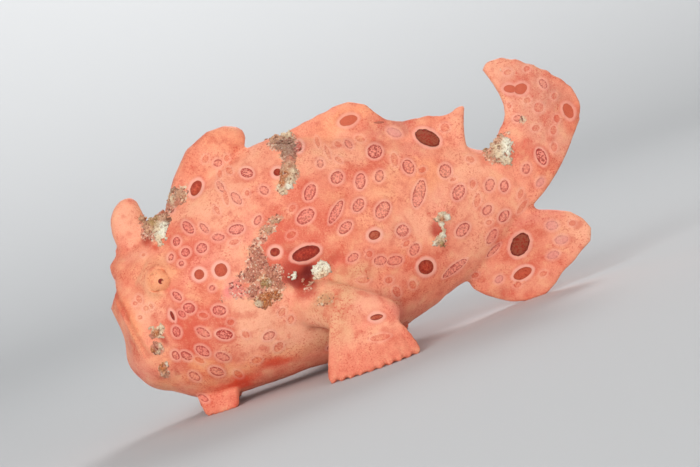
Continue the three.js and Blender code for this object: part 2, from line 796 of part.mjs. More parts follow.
part("head", head, "skin");
part("lower_jaw", lowerJaw, "skin");
part("trunk", trunk, "skin");
part("tail_stalk", tailStalk, "skin");
part("eye_left", eyes[0], "eye");
part("eye_right", eyes[1], "eye");
part("second_dorsal_spine", secondSpine, "skin");
part("third_dorsal_spine", thirdSpine, "skin");
part("lure_rod", lureRod(), "skin");
part("dorsal_fin", dorsalFin, "fin");
part("anal_fin", analFin, "fin");
part("tail_fin", tailFin, "fin");
part("pectoral_arm_left", left.arm, "skin");
part("pectoral_arm_right", right.arm, "skin");
part("pectoral_fin_left", left.hand, "fin");
part("pectoral_fin_right", right.hand, "fin");
part("pelvic_fin_left", left.pelvic, "fin");
part("pelvic_fin_right", right.pelvic, "fin");

// The origin is on the floor, under the middle of the bounding box.
const bounds = new THREE.Box3().setFromObject(fish);
const middle = bounds.getCenter(new THREE.Vector3());
fish.position.set(-middle.x, -middle.y, -bounds.min.z);

export default fish;
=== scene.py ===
import math
import random

import bmesh
import bpy
import numpy as np
from mathutils import Matrix, Vector, noise
from mathutils.bvhtree import BVHTree


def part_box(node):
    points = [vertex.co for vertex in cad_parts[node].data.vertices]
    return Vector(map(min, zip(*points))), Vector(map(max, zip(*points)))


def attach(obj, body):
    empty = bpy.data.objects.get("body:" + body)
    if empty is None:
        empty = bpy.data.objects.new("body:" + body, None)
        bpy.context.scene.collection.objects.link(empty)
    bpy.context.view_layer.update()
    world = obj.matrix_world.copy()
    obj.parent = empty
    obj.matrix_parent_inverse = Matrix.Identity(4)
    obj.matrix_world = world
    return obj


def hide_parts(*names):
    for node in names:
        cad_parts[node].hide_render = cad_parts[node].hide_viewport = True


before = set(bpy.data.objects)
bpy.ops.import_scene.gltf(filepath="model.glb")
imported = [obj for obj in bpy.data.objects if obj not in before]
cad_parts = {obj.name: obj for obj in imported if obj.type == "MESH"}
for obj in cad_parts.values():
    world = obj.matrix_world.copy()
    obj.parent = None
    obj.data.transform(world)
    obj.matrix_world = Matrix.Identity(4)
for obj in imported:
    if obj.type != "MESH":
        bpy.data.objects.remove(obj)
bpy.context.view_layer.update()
mm = 0.001
side = {"left": -1, "right": 1}  # the fish's left side faces the camera

# The camera sees the fish from its left, a little above the floor, and is rolled so that the fish climbs.
cameraView = {
    "target": (-1.16, 0.0, 30.45),  # mm
    "distance": 500.0,  # mm
    "elevation": 3.0,  # degrees above the floor
    "roll": 19.3,  # degrees
    "fieldWidth": 175.0,  # mm seen across the picture at the target
    "sensorWidth": 36.0,  # mm
}
# Marks are placed in the level picture: as the camera sees them, in quarter millimetres at the fish's middle.
levelUnit = 0.25 * mm
levelTarget = (187.8, 121.8)  # the camera's target in that picture
levelStart = -48.11  # mm, where that picture's zero lies along the model

elevation = math.radians(cameraView["elevation"])
roll = math.radians(cameraView["roll"])
target = Vector(cameraView["target"]) * mm
sight = Vector((0, math.cos(elevation), -math.sin(elevation)))
levelRight = Vector((1, 0, 0))
levelUp = Vector((0, math.sin(elevation), math.cos(elevation)))
cameraPlace = target - sight * cameraView["distance"] * mm


def addCamera():
    right = levelRight * math.cos(roll) - levelUp * math.sin(roll)
    up = levelRight * math.sin(roll) + levelUp * math.cos(roll)
    data = bpy.data.cameras.new("camera")
    data.sensor_width = cameraView["sensorWidth"]
    data.lens = cameraView["sensorWidth"] * cameraView["distance"] / cameraView["fieldWidth"]
    data.clip_start = 0.01
    data.clip_end = 20
    camera = bpy.data.objects.new("camera", data)
    bpy.context.scene.collection.objects.link(camera)
    camera.matrix_world = Matrix.Translation(cameraPlace) @ Matrix((right, up, -sight)).transposed().to_4x4()
    bpy.context.scene.camera = camera


addCamera()
print("camera placed")


def mirrored(vector, flank):
    return Vector((vector.x, -vector.y if flank == side["right"] else vector.y, vector.z))


# The point of the fish's middle plane that shows at a place of the level picture.
def planePoint(x, z):
    across = (x - levelTarget[0]) * levelUnit
    up = (z - levelTarget[1]) * levelUnit
    return target + levelRight * across + levelUp * up


# The skin where a place of the level picture meets it, seen from the left, or from the right in a mirror.
def onSkin(tree, x, z, flank):
    start = mirrored(cameraPlace, flank)
    way = mirrored(planePoint(x, z), flank) - start
    return tree.ray_cast(start, way.normalized())


# Level picture coordinates of many points at once, each seen from its own side.
def levelPlaces(points):
    folded = points.copy()
    folded[:, 1] = -np.abs(folded[:, 1])
    away = folded - np.array(cameraPlace)
    depth = away @ np.array(sight)
    scale = cameraView["distance"] * mm / depth / levelUnit
    x = away @ np.array(levelRight) * scale + levelTarget[0]
    z = away @ np.array(levelUp) * scale + levelTarget[1]
    return np.stack([x, z], 1)


def newPiece(name, work, slotName=None):
    mesh = bpy.data.meshes.new(name)
    work.to_mesh(mesh)
    work.free()
    piece = bpy.data.objects.new(name, mesh)
    bpy.context.scene.collection.objects.link(piece)
    if slotName:
        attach(piece, "root")
    return piece


# Replaces a piece's mesh by what its modifiers make of it.
def settle(piece):
    graph = bpy.context.evaluated_depsgraph_get()
    made = bpy.data.meshes.new_from_object(piece.evaluated_get(graph))
    old = piece.data
    piece.modifiers.clear()
    piece.data = made
    bpy.data.meshes.remove(old)


def vectorsOf(items, key):
    flat = np.empty(len(items) * 3)
    items.foreach_get(key, flat)
    return flat.reshape(-1, 3)


def pointsOf(mesh):
    return vectorsOf(mesh.vertices, "co")


def normalsOf(mesh):
    return vectorsOf(mesh.vertex_normals, "vector")


def movePoints(mesh, points):
    mesh.vertices.foreach_set("co", points.ravel())
    mesh.update()


def addColours(mesh, name, colours, alpha=None):
    alpha = np.ones((len(colours), 1)) if alpha is None else alpha
    layer = mesh.attributes.new(name, "FLOAT_COLOR", "POINT")
    layer.data.foreach_set("color", np.concatenate([colours, alpha], 1).ravel())


def addVectors(mesh, name, vectors, domain):
    layer = mesh.attributes.new(name, "FLOAT_VECTOR", domain)
    layer.data.foreach_set("vector", vectors.ravel())


def blended(colours, colour, share):
    return colours * (1 - share) + np.array(colour) * share


def shadeSmooth(mesh):
    mesh.polygons.foreach_set("use_smooth", [True] * len(mesh.polygons))


def remeshed(piece, cell):
    modifier = piece.modifiers.new("remesh", "REMESH")
    modifier.mode = "VOXEL"
    modifier.voxel_size = cell * mm
    settle(piece)


def smooth(piece, weights, rounds):
    group = piece.vertex_groups.new(name="soft")
    for index, weight in enumerate(weights):
        group.add([index], float(weight), "REPLACE")
    modifier = piece.modifiers.new("smooth", "SMOOTH")
    modifier.iterations = rounds
    modifier.vertex_group = "soft"
    settle(piece)
    piece.vertex_groups.clear()


def ramp(values, low, high):
    share = np.clip((values - low) / (high - low), 0, 1)
    return share * share * (3 - 2 * share)


# Shader maths: a Wire is one output socket, and an expression on Wires adds its Math nodes.
class Wire:
    def __init__(self, paint, socket):
        self.paint = paint
        self.socket = socket

    def math(self, operation, *others):
        return self.paint.math(operation, self, *others)

    def __add__(self, other):
        return self.math("ADD", other)

    def __radd__(self, other):
        return self.paint.math("ADD", other, self)

    def __sub__(self, other):
        return self.math("SUBTRACT", other)

    def __rsub__(self, other):
        return self.paint.math("SUBTRACT", other, self)

    def __mul__(self, other):
        return self.math("MULTIPLY", other)

    def __rmul__(self, other):
        return self.paint.math("MULTIPLY", other, self)

    def __truediv__(self, other):
        return self.math("DIVIDE", other)

    def __rtruediv__(self, other):
        return self.paint.math("DIVIDE", other, self)

    def __pow__(self, other):
        return self.math("POWER", other)


class Paint:
    def __init__(self, name):
        self.material = bpy.data.materials.new(name)
        self.material.use_nodes = True
        self.tree = self.material.node_tree
        self.tree.nodes.clear()
        self.surface = self.tree.nodes.new("ShaderNodeBsdfPrincipled")
        output = self.tree.nodes.new("ShaderNodeOutputMaterial")
        self.tree.links.new(self.surface.outputs[0], output.inputs["Surface"])

    def feed(self, socket, value):
        if isinstance(value, Wire):
            self.tree.links.new(value.socket, socket)
        elif socket.type == "RGBA":
            socket.default_value = (*value[:3], 1.0)
        else:
            socket.default_value = value

    # Any node: its type, its settings, the values or links of its sockets, and the output that is wanted.
    def node(self, kind, settings=None, sockets=None, output=0):
        made = self.tree.nodes.new(kind)
        for key, value in (settings or {}).items():
            setattr(made, key, value)
        for key, value in (sockets or {}).items():
            self.feed(made.inputs[key], value)
        return Wire(self, made.outputs[output])

    def math(self, operation, *values):
        return self.node("ShaderNodeMath", {"operation": operation}, dict(enumerate(values)))

    def vector(self, operation, *values):
        return self.node("ShaderNodeVectorMath", {"operation": operation}, dict(enumerate(values)))

    def mix(self, first, second, share):
        return self.node("ShaderNodeMix", {"data_type": "RGBA"}, {0: share, 6: first, 7: second}, 2)

    # From 0 at low to 1 at high, eased.
    def ease(self, value, low, high):
        sockets = {"Value": value, "From Min": low, "From Max": high, "To Min": 0.0, "To Max": 1.0}
        return self.node("ShaderNodeMapRange", {"interpolation_type": "SMOOTHSTEP"}, sockets)

    def place(self):
        return self.node("ShaderNodeTexCoord", output="Object")

    def noise(self, place, size, detail, rough, output=0):
        sockets = {"Vector": place, "Scale": 1 / size, "Detail": detail, "Roughness": rough}
        return self.node("ShaderNodeTexNoise", None, sockets, output)

    def cells(self, place, size, output):
        return self.node("ShaderNodeTexVoronoi", None, {"Vector": place, "Scale": 1 / size}, output)

    def attribute(self, name, output="Vector"):
        return self.node("ShaderNodeAttribute", {"attribute_name": name}, None, output)

    def split(self, vector):
        made = self.node("ShaderNodeSeparateXYZ", None, {0: vector})
        return [Wire(self, socket) for socket in made.socket.node.outputs]

    def join(self, x, y, z):
        return self.node("ShaderNodeCombineXYZ", None, {0: x, 1: y, 2: z})

    def bump(self, height, distance, strength):
        sockets = {"Height": height, "Distance": distance, "Strength": strength}
        return self.node("ShaderNodeBump", None, sockets)

    def finish(self, gloss, **sockets):
        self.surface.inputs["Specular IOR Level"].default_value = gloss
        for key, value in sockets.items():
            words = "".join(" " + letter if letter.isupper() else letter for letter in key)
            self.feed(self.surface.inputs[words.title()], value)
        return self.material


# Red, green and blue as seen on a screen, 0 to 255, as the light that a surface gives back.
def tint(red, green, blue):
    shares = (red / 255, green / 255, blue / 255)
    return tuple(((share + 0.055) / 1.055) ** 2.4 if share > 0.04 else share / 12.92 for share in shares)


def noiseAt(point, size, seed=0.0):
    return noise.noise(Vector(point) / (size * mm) + Vector((seed, seed * 1.7, -seed)))


# The skin: all flesh swollen until the gaps close, joined, remeshed and softened, least at the hands.
skinShape = {
    "swell": 0.17,  # mm
    "cell": 0.58,  # mm
    "bodyRounds": 24,
    "finSoftness": 0.26,
    "finReach": (0.8, 4.0),  # mm from a fin where the body's full softening begins
    "handSoftness": 0.06,
    "mouthReach": (3.0, 8.0),  # mm
    "mouthSoftness": 0.22,
    "eyeReach": (5.5, 8.0),  # mm from an eye's middle where its own full softening ends
    "folds": ((9.0, 0.30), (4.0, 0.16), (1.9, 0.07)),  # size and height in mm
}
mouthLine = (
    (-13.0, 38.2), (-12.85, 37.7), (-12.5, 36.6), (-11.9, 34.0), (-11.3, 30.5),
    (-10.7, 27.0), (-10.0, 24.0), (-9.5, 21.5), (-9.2, 19.3),
)  # mm along and above the floor, from the front of the mouth to its corner
# The mouth is cut into the skin along its line, and the colour is darkened there as a painted shade in the
# crease: depth and widths in mm, and the share of that shade.
mouthCrease = {"depth": 0.4, "width": 0.65, "creaseShadeWidth": 0.6, "tint": 0.4}  # mm, and a share
eyeShape = {
    "radius": 3.42,  # mm
    "gaze": (0.20, -1.0, -0.02),
    "fillet": 3.0,  # mm over which the skin rises to the ball
    "sunk": 0.02,  # mm by which the skin stays under the ball
    "rim": (0.9, 0.436, 2.065),  # from here the ball is taken to fall straight: reach, height and slope
    "lid": (0.7, 0.71, 0.36),  # where higher skin comes down to the ball: reach, height and slope
    "lidReach": 1.9,  # radii from the ball's axis within which the skin is moved
    "pupil": 0.19,  # share of the radius
    "skin": tint(255, 172, 126),
    "dash": tint(196, 100, 64),
    "pupilColour": tint(138, 26, 14),
    "roughness": 0.45,
    "gloss": 0.3,
}

eyeNodes = ["eye_left", "eye_right"]
fleshNodes = [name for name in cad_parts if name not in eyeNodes]
finWords = ("fin", "spine", "lure")


def mergedCopy(name, grow):
    work = bmesh.new()
    work.from_mesh(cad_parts[name].data)
    bmesh.ops.remove_doubles(work, verts=work.verts, dist=0.002 * mm)
    work.normal_update()
    grown = [vertex.co + vertex.normal * grow * mm for vertex in work.verts]
    for vertex, point in zip(work.verts, grown):
        vertex.co = point
    return work


def nodeTree(names):
    joined = bmesh.new()
    for name in names:
        joined.from_mesh(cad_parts[name].data)
    tree = BVHTree.FromBMesh(joined)
    joined.free()
    return tree


def farFrom(tree, points, limit):
    found = np.full(len(points), limit)
    for index, point in enumerate(points):
        hit = tree.find_nearest(Vector(point), limit)
        if hit[0] is not None:
            found[index] = hit[3]
    return found


def makeSkin():
    whole = bmesh.new()
    for name in fleshNodes:
        part = mergedCopy(name, skinShape["swell"])
        held = bpy.data.meshes.new("held")
        part.to_mesh(held)
        part.free()
        whole.from_mesh(held)
        bpy.data.meshes.remove(held)
    piece = newPiece("skin", whole, "skin")
    remeshed(piece, skinShape["cell"])
    return piece


# How far points are from the mouth line in the side view, in mm.
def fromMouth(points):
    line = np.array(mouthLine) + (levelStart, 0)
    nearest = np.full(len(points), 99.0)
    for (x0, z0), (x1, z1) in zip(line[:-1], line[1:]):
        step = np.array((x1 - x0, z1 - z0))
        offset = points[:, (0, 2)] / mm - (x0, z0)
        share = np.clip(offset @ step / (step @ step), 0, 1)[:, None]
        nearest = np.minimum(nearest, np.linalg.norm(offset - share * step, axis=1))
    return nearest


def eyeFrame(name):
    low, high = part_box(name)
    centre = (low + high) / 2
    gaze = Vector(eyeShape["gaze"]).normalized()
    gaze.y *= 1 if centre.y < 0 else -1
    return Vector(centre), gaze


# Lifts the skin round an eye so that it runs smoothly into the ball, or lowers it to leave no lip over it.
def meetEye(points, name):
    centre, gaze = eyeFrame(name)
    radius = eyeShape["radius"] * mm
    away = points - np.array(centre)
    height = away @ np.array(gaze)
    offset = away - height[:, None] * np.array(gaze)
    reach = np.linalg.norm(offset, axis=1)
    rim, rimHeight, fall = eyeShape["rim"]
    ball = np.sqrt(np.maximum(radius ** 2 - reach ** 2, 0))
    dome = np.where(reach < rim * radius, ball, (rimHeight - fall * (reach / radius - rim)) * radius)
    dome = dome - eyeShape["sunk"] * mm
    fillet = eyeShape["fillet"] * mm
    blend = np.clip(1 - np.abs(height - dome) / fillet, 0, 1)
    raised = np.maximum(height, dome) + fillet * blend * blend / 4
    lid, lidHeight, rise = eyeShape["lid"]
    ceiling = np.where(reach < lid * radius, dome, lidHeight * radius + rise * (reach - lid * radius))
    raised = np.minimum(raised, ceiling)
    near = (reach < eyeShape["lidReach"] * radius) & (height > -radius)
    lift = np.where(near, raised - height, 0.0)
    return points + lift[:, None] * np.array(gaze)


def softenSkin(piece):
    points = pointsOf(piece.data)
    fins = [name for name in fleshNodes if any(word in name for word in finWords)]
    near, far = skinShape["finReach"]
    fromFins = farFrom(nodeTree(fins), points, far * mm) / mm
    weights = skinShape["finSoftness"] + (1 - skinShape["finSoftness"]) * ramp(fromFins, near, far)
    hands = [name for name in fleshNodes if name.startswith(("pectoral_fin", "pelvic_fin"))]
    fromHands = farFrom(nodeTree(hands), points, far * mm) / mm
    weights = np.minimum(weights, skinShape["handSoftness"] + ramp(fromHands, near, far))
    low, high = skinShape["mouthReach"]
    least = skinShape["mouthSoftness"]
    weights = np.minimum(weights, least + (1 - least) * ramp(fromMouth(points), low, high))
    for name in eyeNodes:
        fromEye = np.linalg.norm(points - np.array(eyeFrame(name)[0]), axis=1) / mm
        weights = np.maximum(weights, 1.0 - ramp(fromEye, *skinShape["eyeReach"]))
    smooth(piece, weights, skinShape["bodyRounds"])
    points = pointsOf(piece.data)
    normals = normalsOf(piece.data)
    lift = np.zeros(len(points))
    for size, height in skinShape["folds"]:
        lift += height * mm * np.array([noiseAt(point, size, size) for point in points])
    crease = np.exp(-(fromMouth(points) / mouthCrease["width"]) ** 2)
    lift = lift * weights - crease * mouthCrease["depth"] * mm
    points = points + normals * lift[:, None]
    for name in eyeNodes:
        points = meetEye(points, name)
    movePoints(piece.data, points)


skinPiece = makeSkin()
softenSkin(skinPiece)
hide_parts(*fleshNodes)
shadeSmooth(skinPiece.data)
skinTree = BVHTree.FromPolygons(
    [vertex.co.copy() for vertex in skinPiece.data.vertices],
    [tuple(polygon.vertices) for polygon in skinPiece.data.polygons],
)
print("skin made", len(skinPiece.data.polygons), "faces")

# A solid spot is one dark blot in a pale ring, a netted one is pink with dark flecks inside a dark line.
# A faint one is only a thin pale ring. Each kind is its number in the paint and how dark it is.
tawny, ember, russet, maroon = (1.0, -0.15), (1.0, 0.1), (1.0, 0.4), (1.0, 0.6)
ruby, brown, bark = (1.0, 0.25), (1.1, 0.5), (1.1, 0.9)
dark, netted, soft, violet, faint = (2.0, 1.2), (2.0, 0.75), (2.0, 0.35), (2.2, 0.35), (3.0, 0.5)
dot = (4.0, 0.55)
# Spots of the left side by kind: place in the level picture, half length, half width, turn in degrees.
seenSpots = {
    tawny: (
        (223.6, 229, 9, 4.7, 0), (386.6, 205.4, 6, 3.6, -24), (396.8, 202, 6.4, 5, 5),
        (434.4, 165.4, 7.6, 4.8, 96),
    ),
    ember: (
        (32, 133, 4.6, 4.6, 0), (53.8, 130, 6, 6.2, 0), (337.6, 27, 9.6, 5, 8),
    ),
    ruby: (
        (57.5, 215.5, 8, 4.8, 45), (168.5, 221, 5, 2.6, 72),
    ),
    russet: (
        (139.5, 203.5, 3.6, 3.4, 0), (110.9, 129, 4.5, 3.9, 0), (248.4, 65, 7.3, 7, 0),
    ),
    maroon: (
        (-7, 103, 4.6, 1.5, 94), (139.6, 117.6, 13.6, 6.4, 0),
    ),
    brown: (
        (210.4, 112.3, 5.5, 4.2, 0), (185.2, 34, 5.8, 2.5, -8),
    ),
    bark: (
        (292.6, 186.4, 12.8, 7.4, -46), (344.6, 55, 12, 8.6, 43),
    ),
    dark: (
        (110.5, 213.2, 6.8, 4.8, -40), (36, 68, 8.4, 4.8, -28), (238.4, 191.2, 7.8, 7.4, 40),
        (393.8, 131, 9.2, 5, 95),
    ),
    netted: (
        (37, 181, 8, 4.4, -65), (21.4, 171.5, 4.6, 3.8, 60), (26.4, 158.4, 4.6, 4.2, 0),
        (43, 157, 5.6, 5, 0), (11, 158.6, 3.6, 2.6, 55), (18.8, 149.2, 2.8, 2.6, 0),
        (81.9, 163.2, 8.2, 5, -8), (4, 120, 6, 3.2, -62), (11.2, 104.6, 6.2, 5.2, -30),
        (39, 92.4, 7, 5, -25), (-8.4, 86.4, 5.6, 4, 90), (-17, 64.4, 5, 3.6, 100),
        (-7, 60.4, 6.6, 3.8, -50), (10, 59.6, 7.8, 4.6, -52), (16.4, 35.6, 7.6, 4.4, -40),
        (163.8, 174, 9, 5.6, 50), (194, 179, 6.9, 6.2, 30), (151.6, 152.6, 10, 6.6, 18),
        (181.6, 146.8, 13.6, 4.2, 42), (205.4, 145.8, 7.6, 5.2, 36), (215, 167.8, 8.4, 5.2, 65),
        (265, 165.4, 8, 5.7, 94), (185.4, 128.8, 8.2, 4.7, 25), (226.4, 133.2, 9.8, 6.8, 42),
        (266.2, 136.6, 15, 6, 56), (238.4, 107, 6.4, 6, 0), (275.2, 54.4, 16, 3.8, 18),
        (298.4, 149.4, 7.4, 6.4, 70), (304, 124.8, 8.8, 5.8, 40), (349.2, 115.6, 6.4, 4.4, 68),
        (295.4, 88, 8.8, 5.4, 26), (339, 87.2, 7.2, 4.6, 30),
    ),
    soft: (
        (27, 203, 3.4, 3, 20), (52, 175, 6.4, 3, -65), (62.3, 161.8, 6.6, 3.6, -18),
        (105, 164.8, 5.4, 3.4, 40), (86.4, 232, 4.4, 3.8, 0), (81, 209, 6.6, 3, -75),
        (92.1, 192.6, 8, 4, -68), (121, 191, 5.2, 4.2, -60), (40, 116, 3, 2.8, 0),
        (2.6, 101.4, 4.4, 2.8, -55), (16.4, 77, 7.6, 3.8, -50), (27, 47.6, 7.4, 4, -40),
        (-6, 38.4, 6.4, 4, -55), (77.6, 52, 6.4, 4, 10), (-5, 15, 6, 3, -45), (234.6, 166.4, 6.2, 4.5, 58),
        (182.8, 98, 6.2, 3.8, 15), (183, 197.8, 4.6, 3.4, 80), (216, 206.6, 5.4, 3.2, -72),
        (207.4, 86.2, 6.6, 4.6, -8), (221.2, 81.4, 8.2, 4.8, -8), (243.5, 85.4, 6.8, 4.6, 36),
        (336, 121.4, 6.6, 4.8, 50), (325, 98.6, 6.2, 4.2, 30), (320.6, 72, 8.8, 4, 40),
        (318, 58.6, 10, 2.6, 26), (375.5, 124.6, 5.4, 4.2, 60), (419.6, 199.4, 5.6, 3.6, 104),
        (384, 175.2, 4.2, 3.4, 0),
    ),
    violet: (
        (263, 202.6, 8.4, 4.6, -40), (384.4, 107.4, 5.6, 3.6, 36), (381.1, 62.6, 6.8, 5, -18),
        (385.2, 46, 7.2, 4.6, -10), (372.4, 34.4, 6.8, 4, 0), (313.4, 29.4, 5, 3.6, 20),
    ),
    faint: (
        (75.6, 152, 5, 2.4, -5), (82.6, 197, 8, 2.4, 86), (76, 240, 4, 2.8, 50),
        (96.4, 233.6, 3.2, 2.2, 60), (94.6, 221, 4.4, 2.8, -62), (84.6, 221, 4, 2.2, 80),
        (104, 194, 3, 2, 70), (70, 188, 5, 2, -75), (22.4, 93, 4.4, 2.4, -30), (46, 77.4, 3.4, 2.8, 0),
        (83, 38.4, 5.6, 3.4, 30), (36, 26, 4.6, 3, -60), (97.5, 70, 4.4, 3, 40), (103.6, 60, 4.4, 2.8, 60),
        (58, 33, 5, 3, 0), (56, 61, 4, 3, -60), (4, 52, 5, 2.4, -45), (-33, 129.5, 4, 2.8, 95),
        (-29.5, 118.5, 2.8, 2.6, 0), (-38, 112, 2.4, 2, 0), (-38, 127, 2.4, 2, 0), (-24, 119, 2.4, 1.6, 90),
        (-14, 170, 2, 1.4, 0), (199.4, 96.2, 3, 3, 0), (193.6, 206, 8, 1.8, 92),
        (201.4, 195.2, 4, 2.2, -60), (187.4, 219, 6, 2, 86), (206, 210, 4, 2.6, -50),
        (228.6, 208, 5, 3, -40), (254.4, 177, 7, 3.2, 82), (132, 140, 4.8, 3, 10),
        (141.6, 164.6, 4, 2.8, 30), (277, 158, 3.8, 2.6, 0), (237.8, 93.7, 4, 2.2, 20),
        (185.4, 73, 6.2, 2.8, -15), (209.2, 64.8, 3.8, 3, 0), (212.6, 51.4, 5.2, 3.6, 90),
        (230.2, 52.8, 4.2, 3.4, 90), (182, 13.7, 10, 3, -8), (292, 41, 4, 2.4, 0), (210.5, 18, 3.6, 2.6, 0),
        (312.4, 190.4, 4.2, 4, 0), (326, 152, 4.4, 3, -40), (303, 138.8, 3.2, 1.6, 0),
        (320, 128, 4.4, 2.6, 60), (319, 111, 7, 3, 60), (322.6, 86.4, 3, 2.2, 0), (359, 90, 8.4, 2.4, 36),
        (362, 103, 5, 2.4, 50), (407.6, 178.4, 5, 4.8, 0), (421, 162, 4, 3, 80), (414, 152, 4.4, 3, 60),
        (426, 184, 3.4, 2.6, 50), (398, 160, 4, 3, 0), (409, 219, 3.4, 2.6, 20), (390, 222, 4, 2.6, 0),
        (409, 136, 4.4, 3, 70), (399, 189, 3.6, 2.8, 0), (380, 190, 3, 2, 90), (329, 18, 4, 2.6, 0),
        (401, 58, 3.4, 2.6, 0), (357, 20, 4, 2.4, 10),
    ),
    dot: (
        (-17, 134.4, 1.8, 0.8, 10), (-7.5, 131.4, 1.3, 1.2, 0), (-1.5, 133.6, 1.6, 1.0, 40),
        (188.8, 73, 1.6, 1.4, 0), (252, 217, 5, 1.0, -16),
    ),
}
# The unseen side and the places that the picture hides carry spots set out by chance.
spreadSpots = {
    "count": 150,
    "tries": 12000,
    "apart": 4.6,  # mm
    "halfLength": (0.9, 2.2),  # mm
    "floorGap": 1.5,  # mm
    "hidden": 1.5,  # mm by which the camera has to miss the place
    "solidShare": 0.1,
    "faintShare": 0.3,
    "seed": 11,
}
spotGrowth = (1.0, 0.92, 0.95, 1.0)  # of the sizes above, for solid, netted, faint and dots
spotReach = 1.9  # mm of skin round a spot's edge that still belongs to it
spotDepth = 3.2  # mm above or below its middle that a spot can lie


def pickSpots():
    spots = []
    seen = [(*spot, kind) for kind, group in seenSpots.items() for spot in group]
    for x, z, length, width, turn, kind in seen:
        hit, normal = onSkin(skinTree, x, z, side["left"])[:2]
        if hit is None:
            continue
        angle = math.radians(turn)
        along = levelRight * math.cos(angle) + levelUp * math.sin(angle)
        across = levelUp * math.cos(angle) - levelRight * math.sin(angle)
        grown = levelUnit * spotGrowth[int(kind[0]) - 1]
        spots.append((hit, along, across, normal, length * grown, width * grown, kind))
    chance = random.Random(spreadSpots["seed"])
    faces = skinPiece.data.polygons
    tries = 0
    while tries < spreadSpots["tries"] and len(spots) < len(seen) + spreadSpots["count"]:
        tries += 1
        face = faces[chance.randrange(len(faces))]
        place, normal = face.center, face.normal
        shown = skinTree.ray_cast(cameraPlace, (place - cameraPlace).normalized())[0]
        if place.z < spreadSpots["floorGap"] * mm or (shown - place).length < spreadSpots["hidden"] * mm:
            continue
        apart = spreadSpots["apart"] * mm * (0.7 + 0.5 * chance.random())
        if any((place - spot[0]).length < apart + 0.5 * spot[4] for spot in spots):
            continue
        length = chance.uniform(*spreadSpots["halfLength"]) * mm
        width = length * chance.uniform(0.55, 0.95)
        draw = chance.random()
        kind = chance.choice((ember, russet, maroon)) if draw < spreadSpots["solidShare"] else netted
        kind = chance.choice((soft, faint)) if draw > 1 - spreadSpots["faintShare"] else kind
        along = normal.cross(Vector([chance.gauss(0, 1) for _ in range(3)])).normalized()
        spots.append((place.copy(), along, normal.cross(along), normal.copy(), length, width, kind))
    return spots


# Each face takes the spot whose edge is nearest and keeps the place within it, so the rings stay sharp.
def setSpots():
    mesh = skinPiece.data
    count = len(mesh.polygons)
    centres = vectorsOf(mesh.polygons, "center")
    faceNormals = vectorsOf(mesh.polygons, "normal")
    spots = pickSpots()
    nearest = np.full(count, spotReach * mm)
    chosen = np.full(count, -1)
    for index, (place, along, across, normal, length, width, kind) in enumerate(spots):
        offset = centres - np.array(place)
        x, y, depth = offset @ np.array(along), offset @ np.array(across), offset @ np.array(normal)
        radius = np.hypot(x / length, y / width) + 1e-9
        gap = np.hypot(x, y) * (1 - 1 / radius)
        fits = (np.abs(depth) < spotDepth * mm) & (faceNormals @ np.array(normal) > 0.3) & (gap < nearest)
        nearest[fits] = gap[fits]
        chosen[fits] = index
    table = np.array([[*s[0], *s[1], *s[2], s[4], s[5], *s[6]] for s in spots])
    corners = np.empty(len(mesh.loops), int)
    mesh.loops.foreach_get("vertex_index", corners)
    totals = np.empty(count, int)
    mesh.polygons.foreach_get("loop_total", totals)
    owner = np.repeat(chosen, totals)
    mine = table[owner]
    offset = pointsOf(mesh)[corners] - mine[:, :3]
    u = np.einsum("ij,ij->i", offset, mine[:, 3:6]) / mine[:, 9]
    v = np.einsum("ij,ij->i", offset, mine[:, 6:9]) / mine[:, 10]
    free = owner < 0
    spot = np.stack([np.where(free, 9.0, u), np.where(free, 9.0, v), np.where(free, 0.0, mine[:, 11])], 1)
    size = np.stack([mine[:, 9] / mm, mine[:, 10] / mm, mine[:, 12]], 1)
    addVectors(mesh, "spot", spot, "CORNER")
    addVectors(mesh, "spotSize", size, "CORNER")


setSpots()
print("spots set")
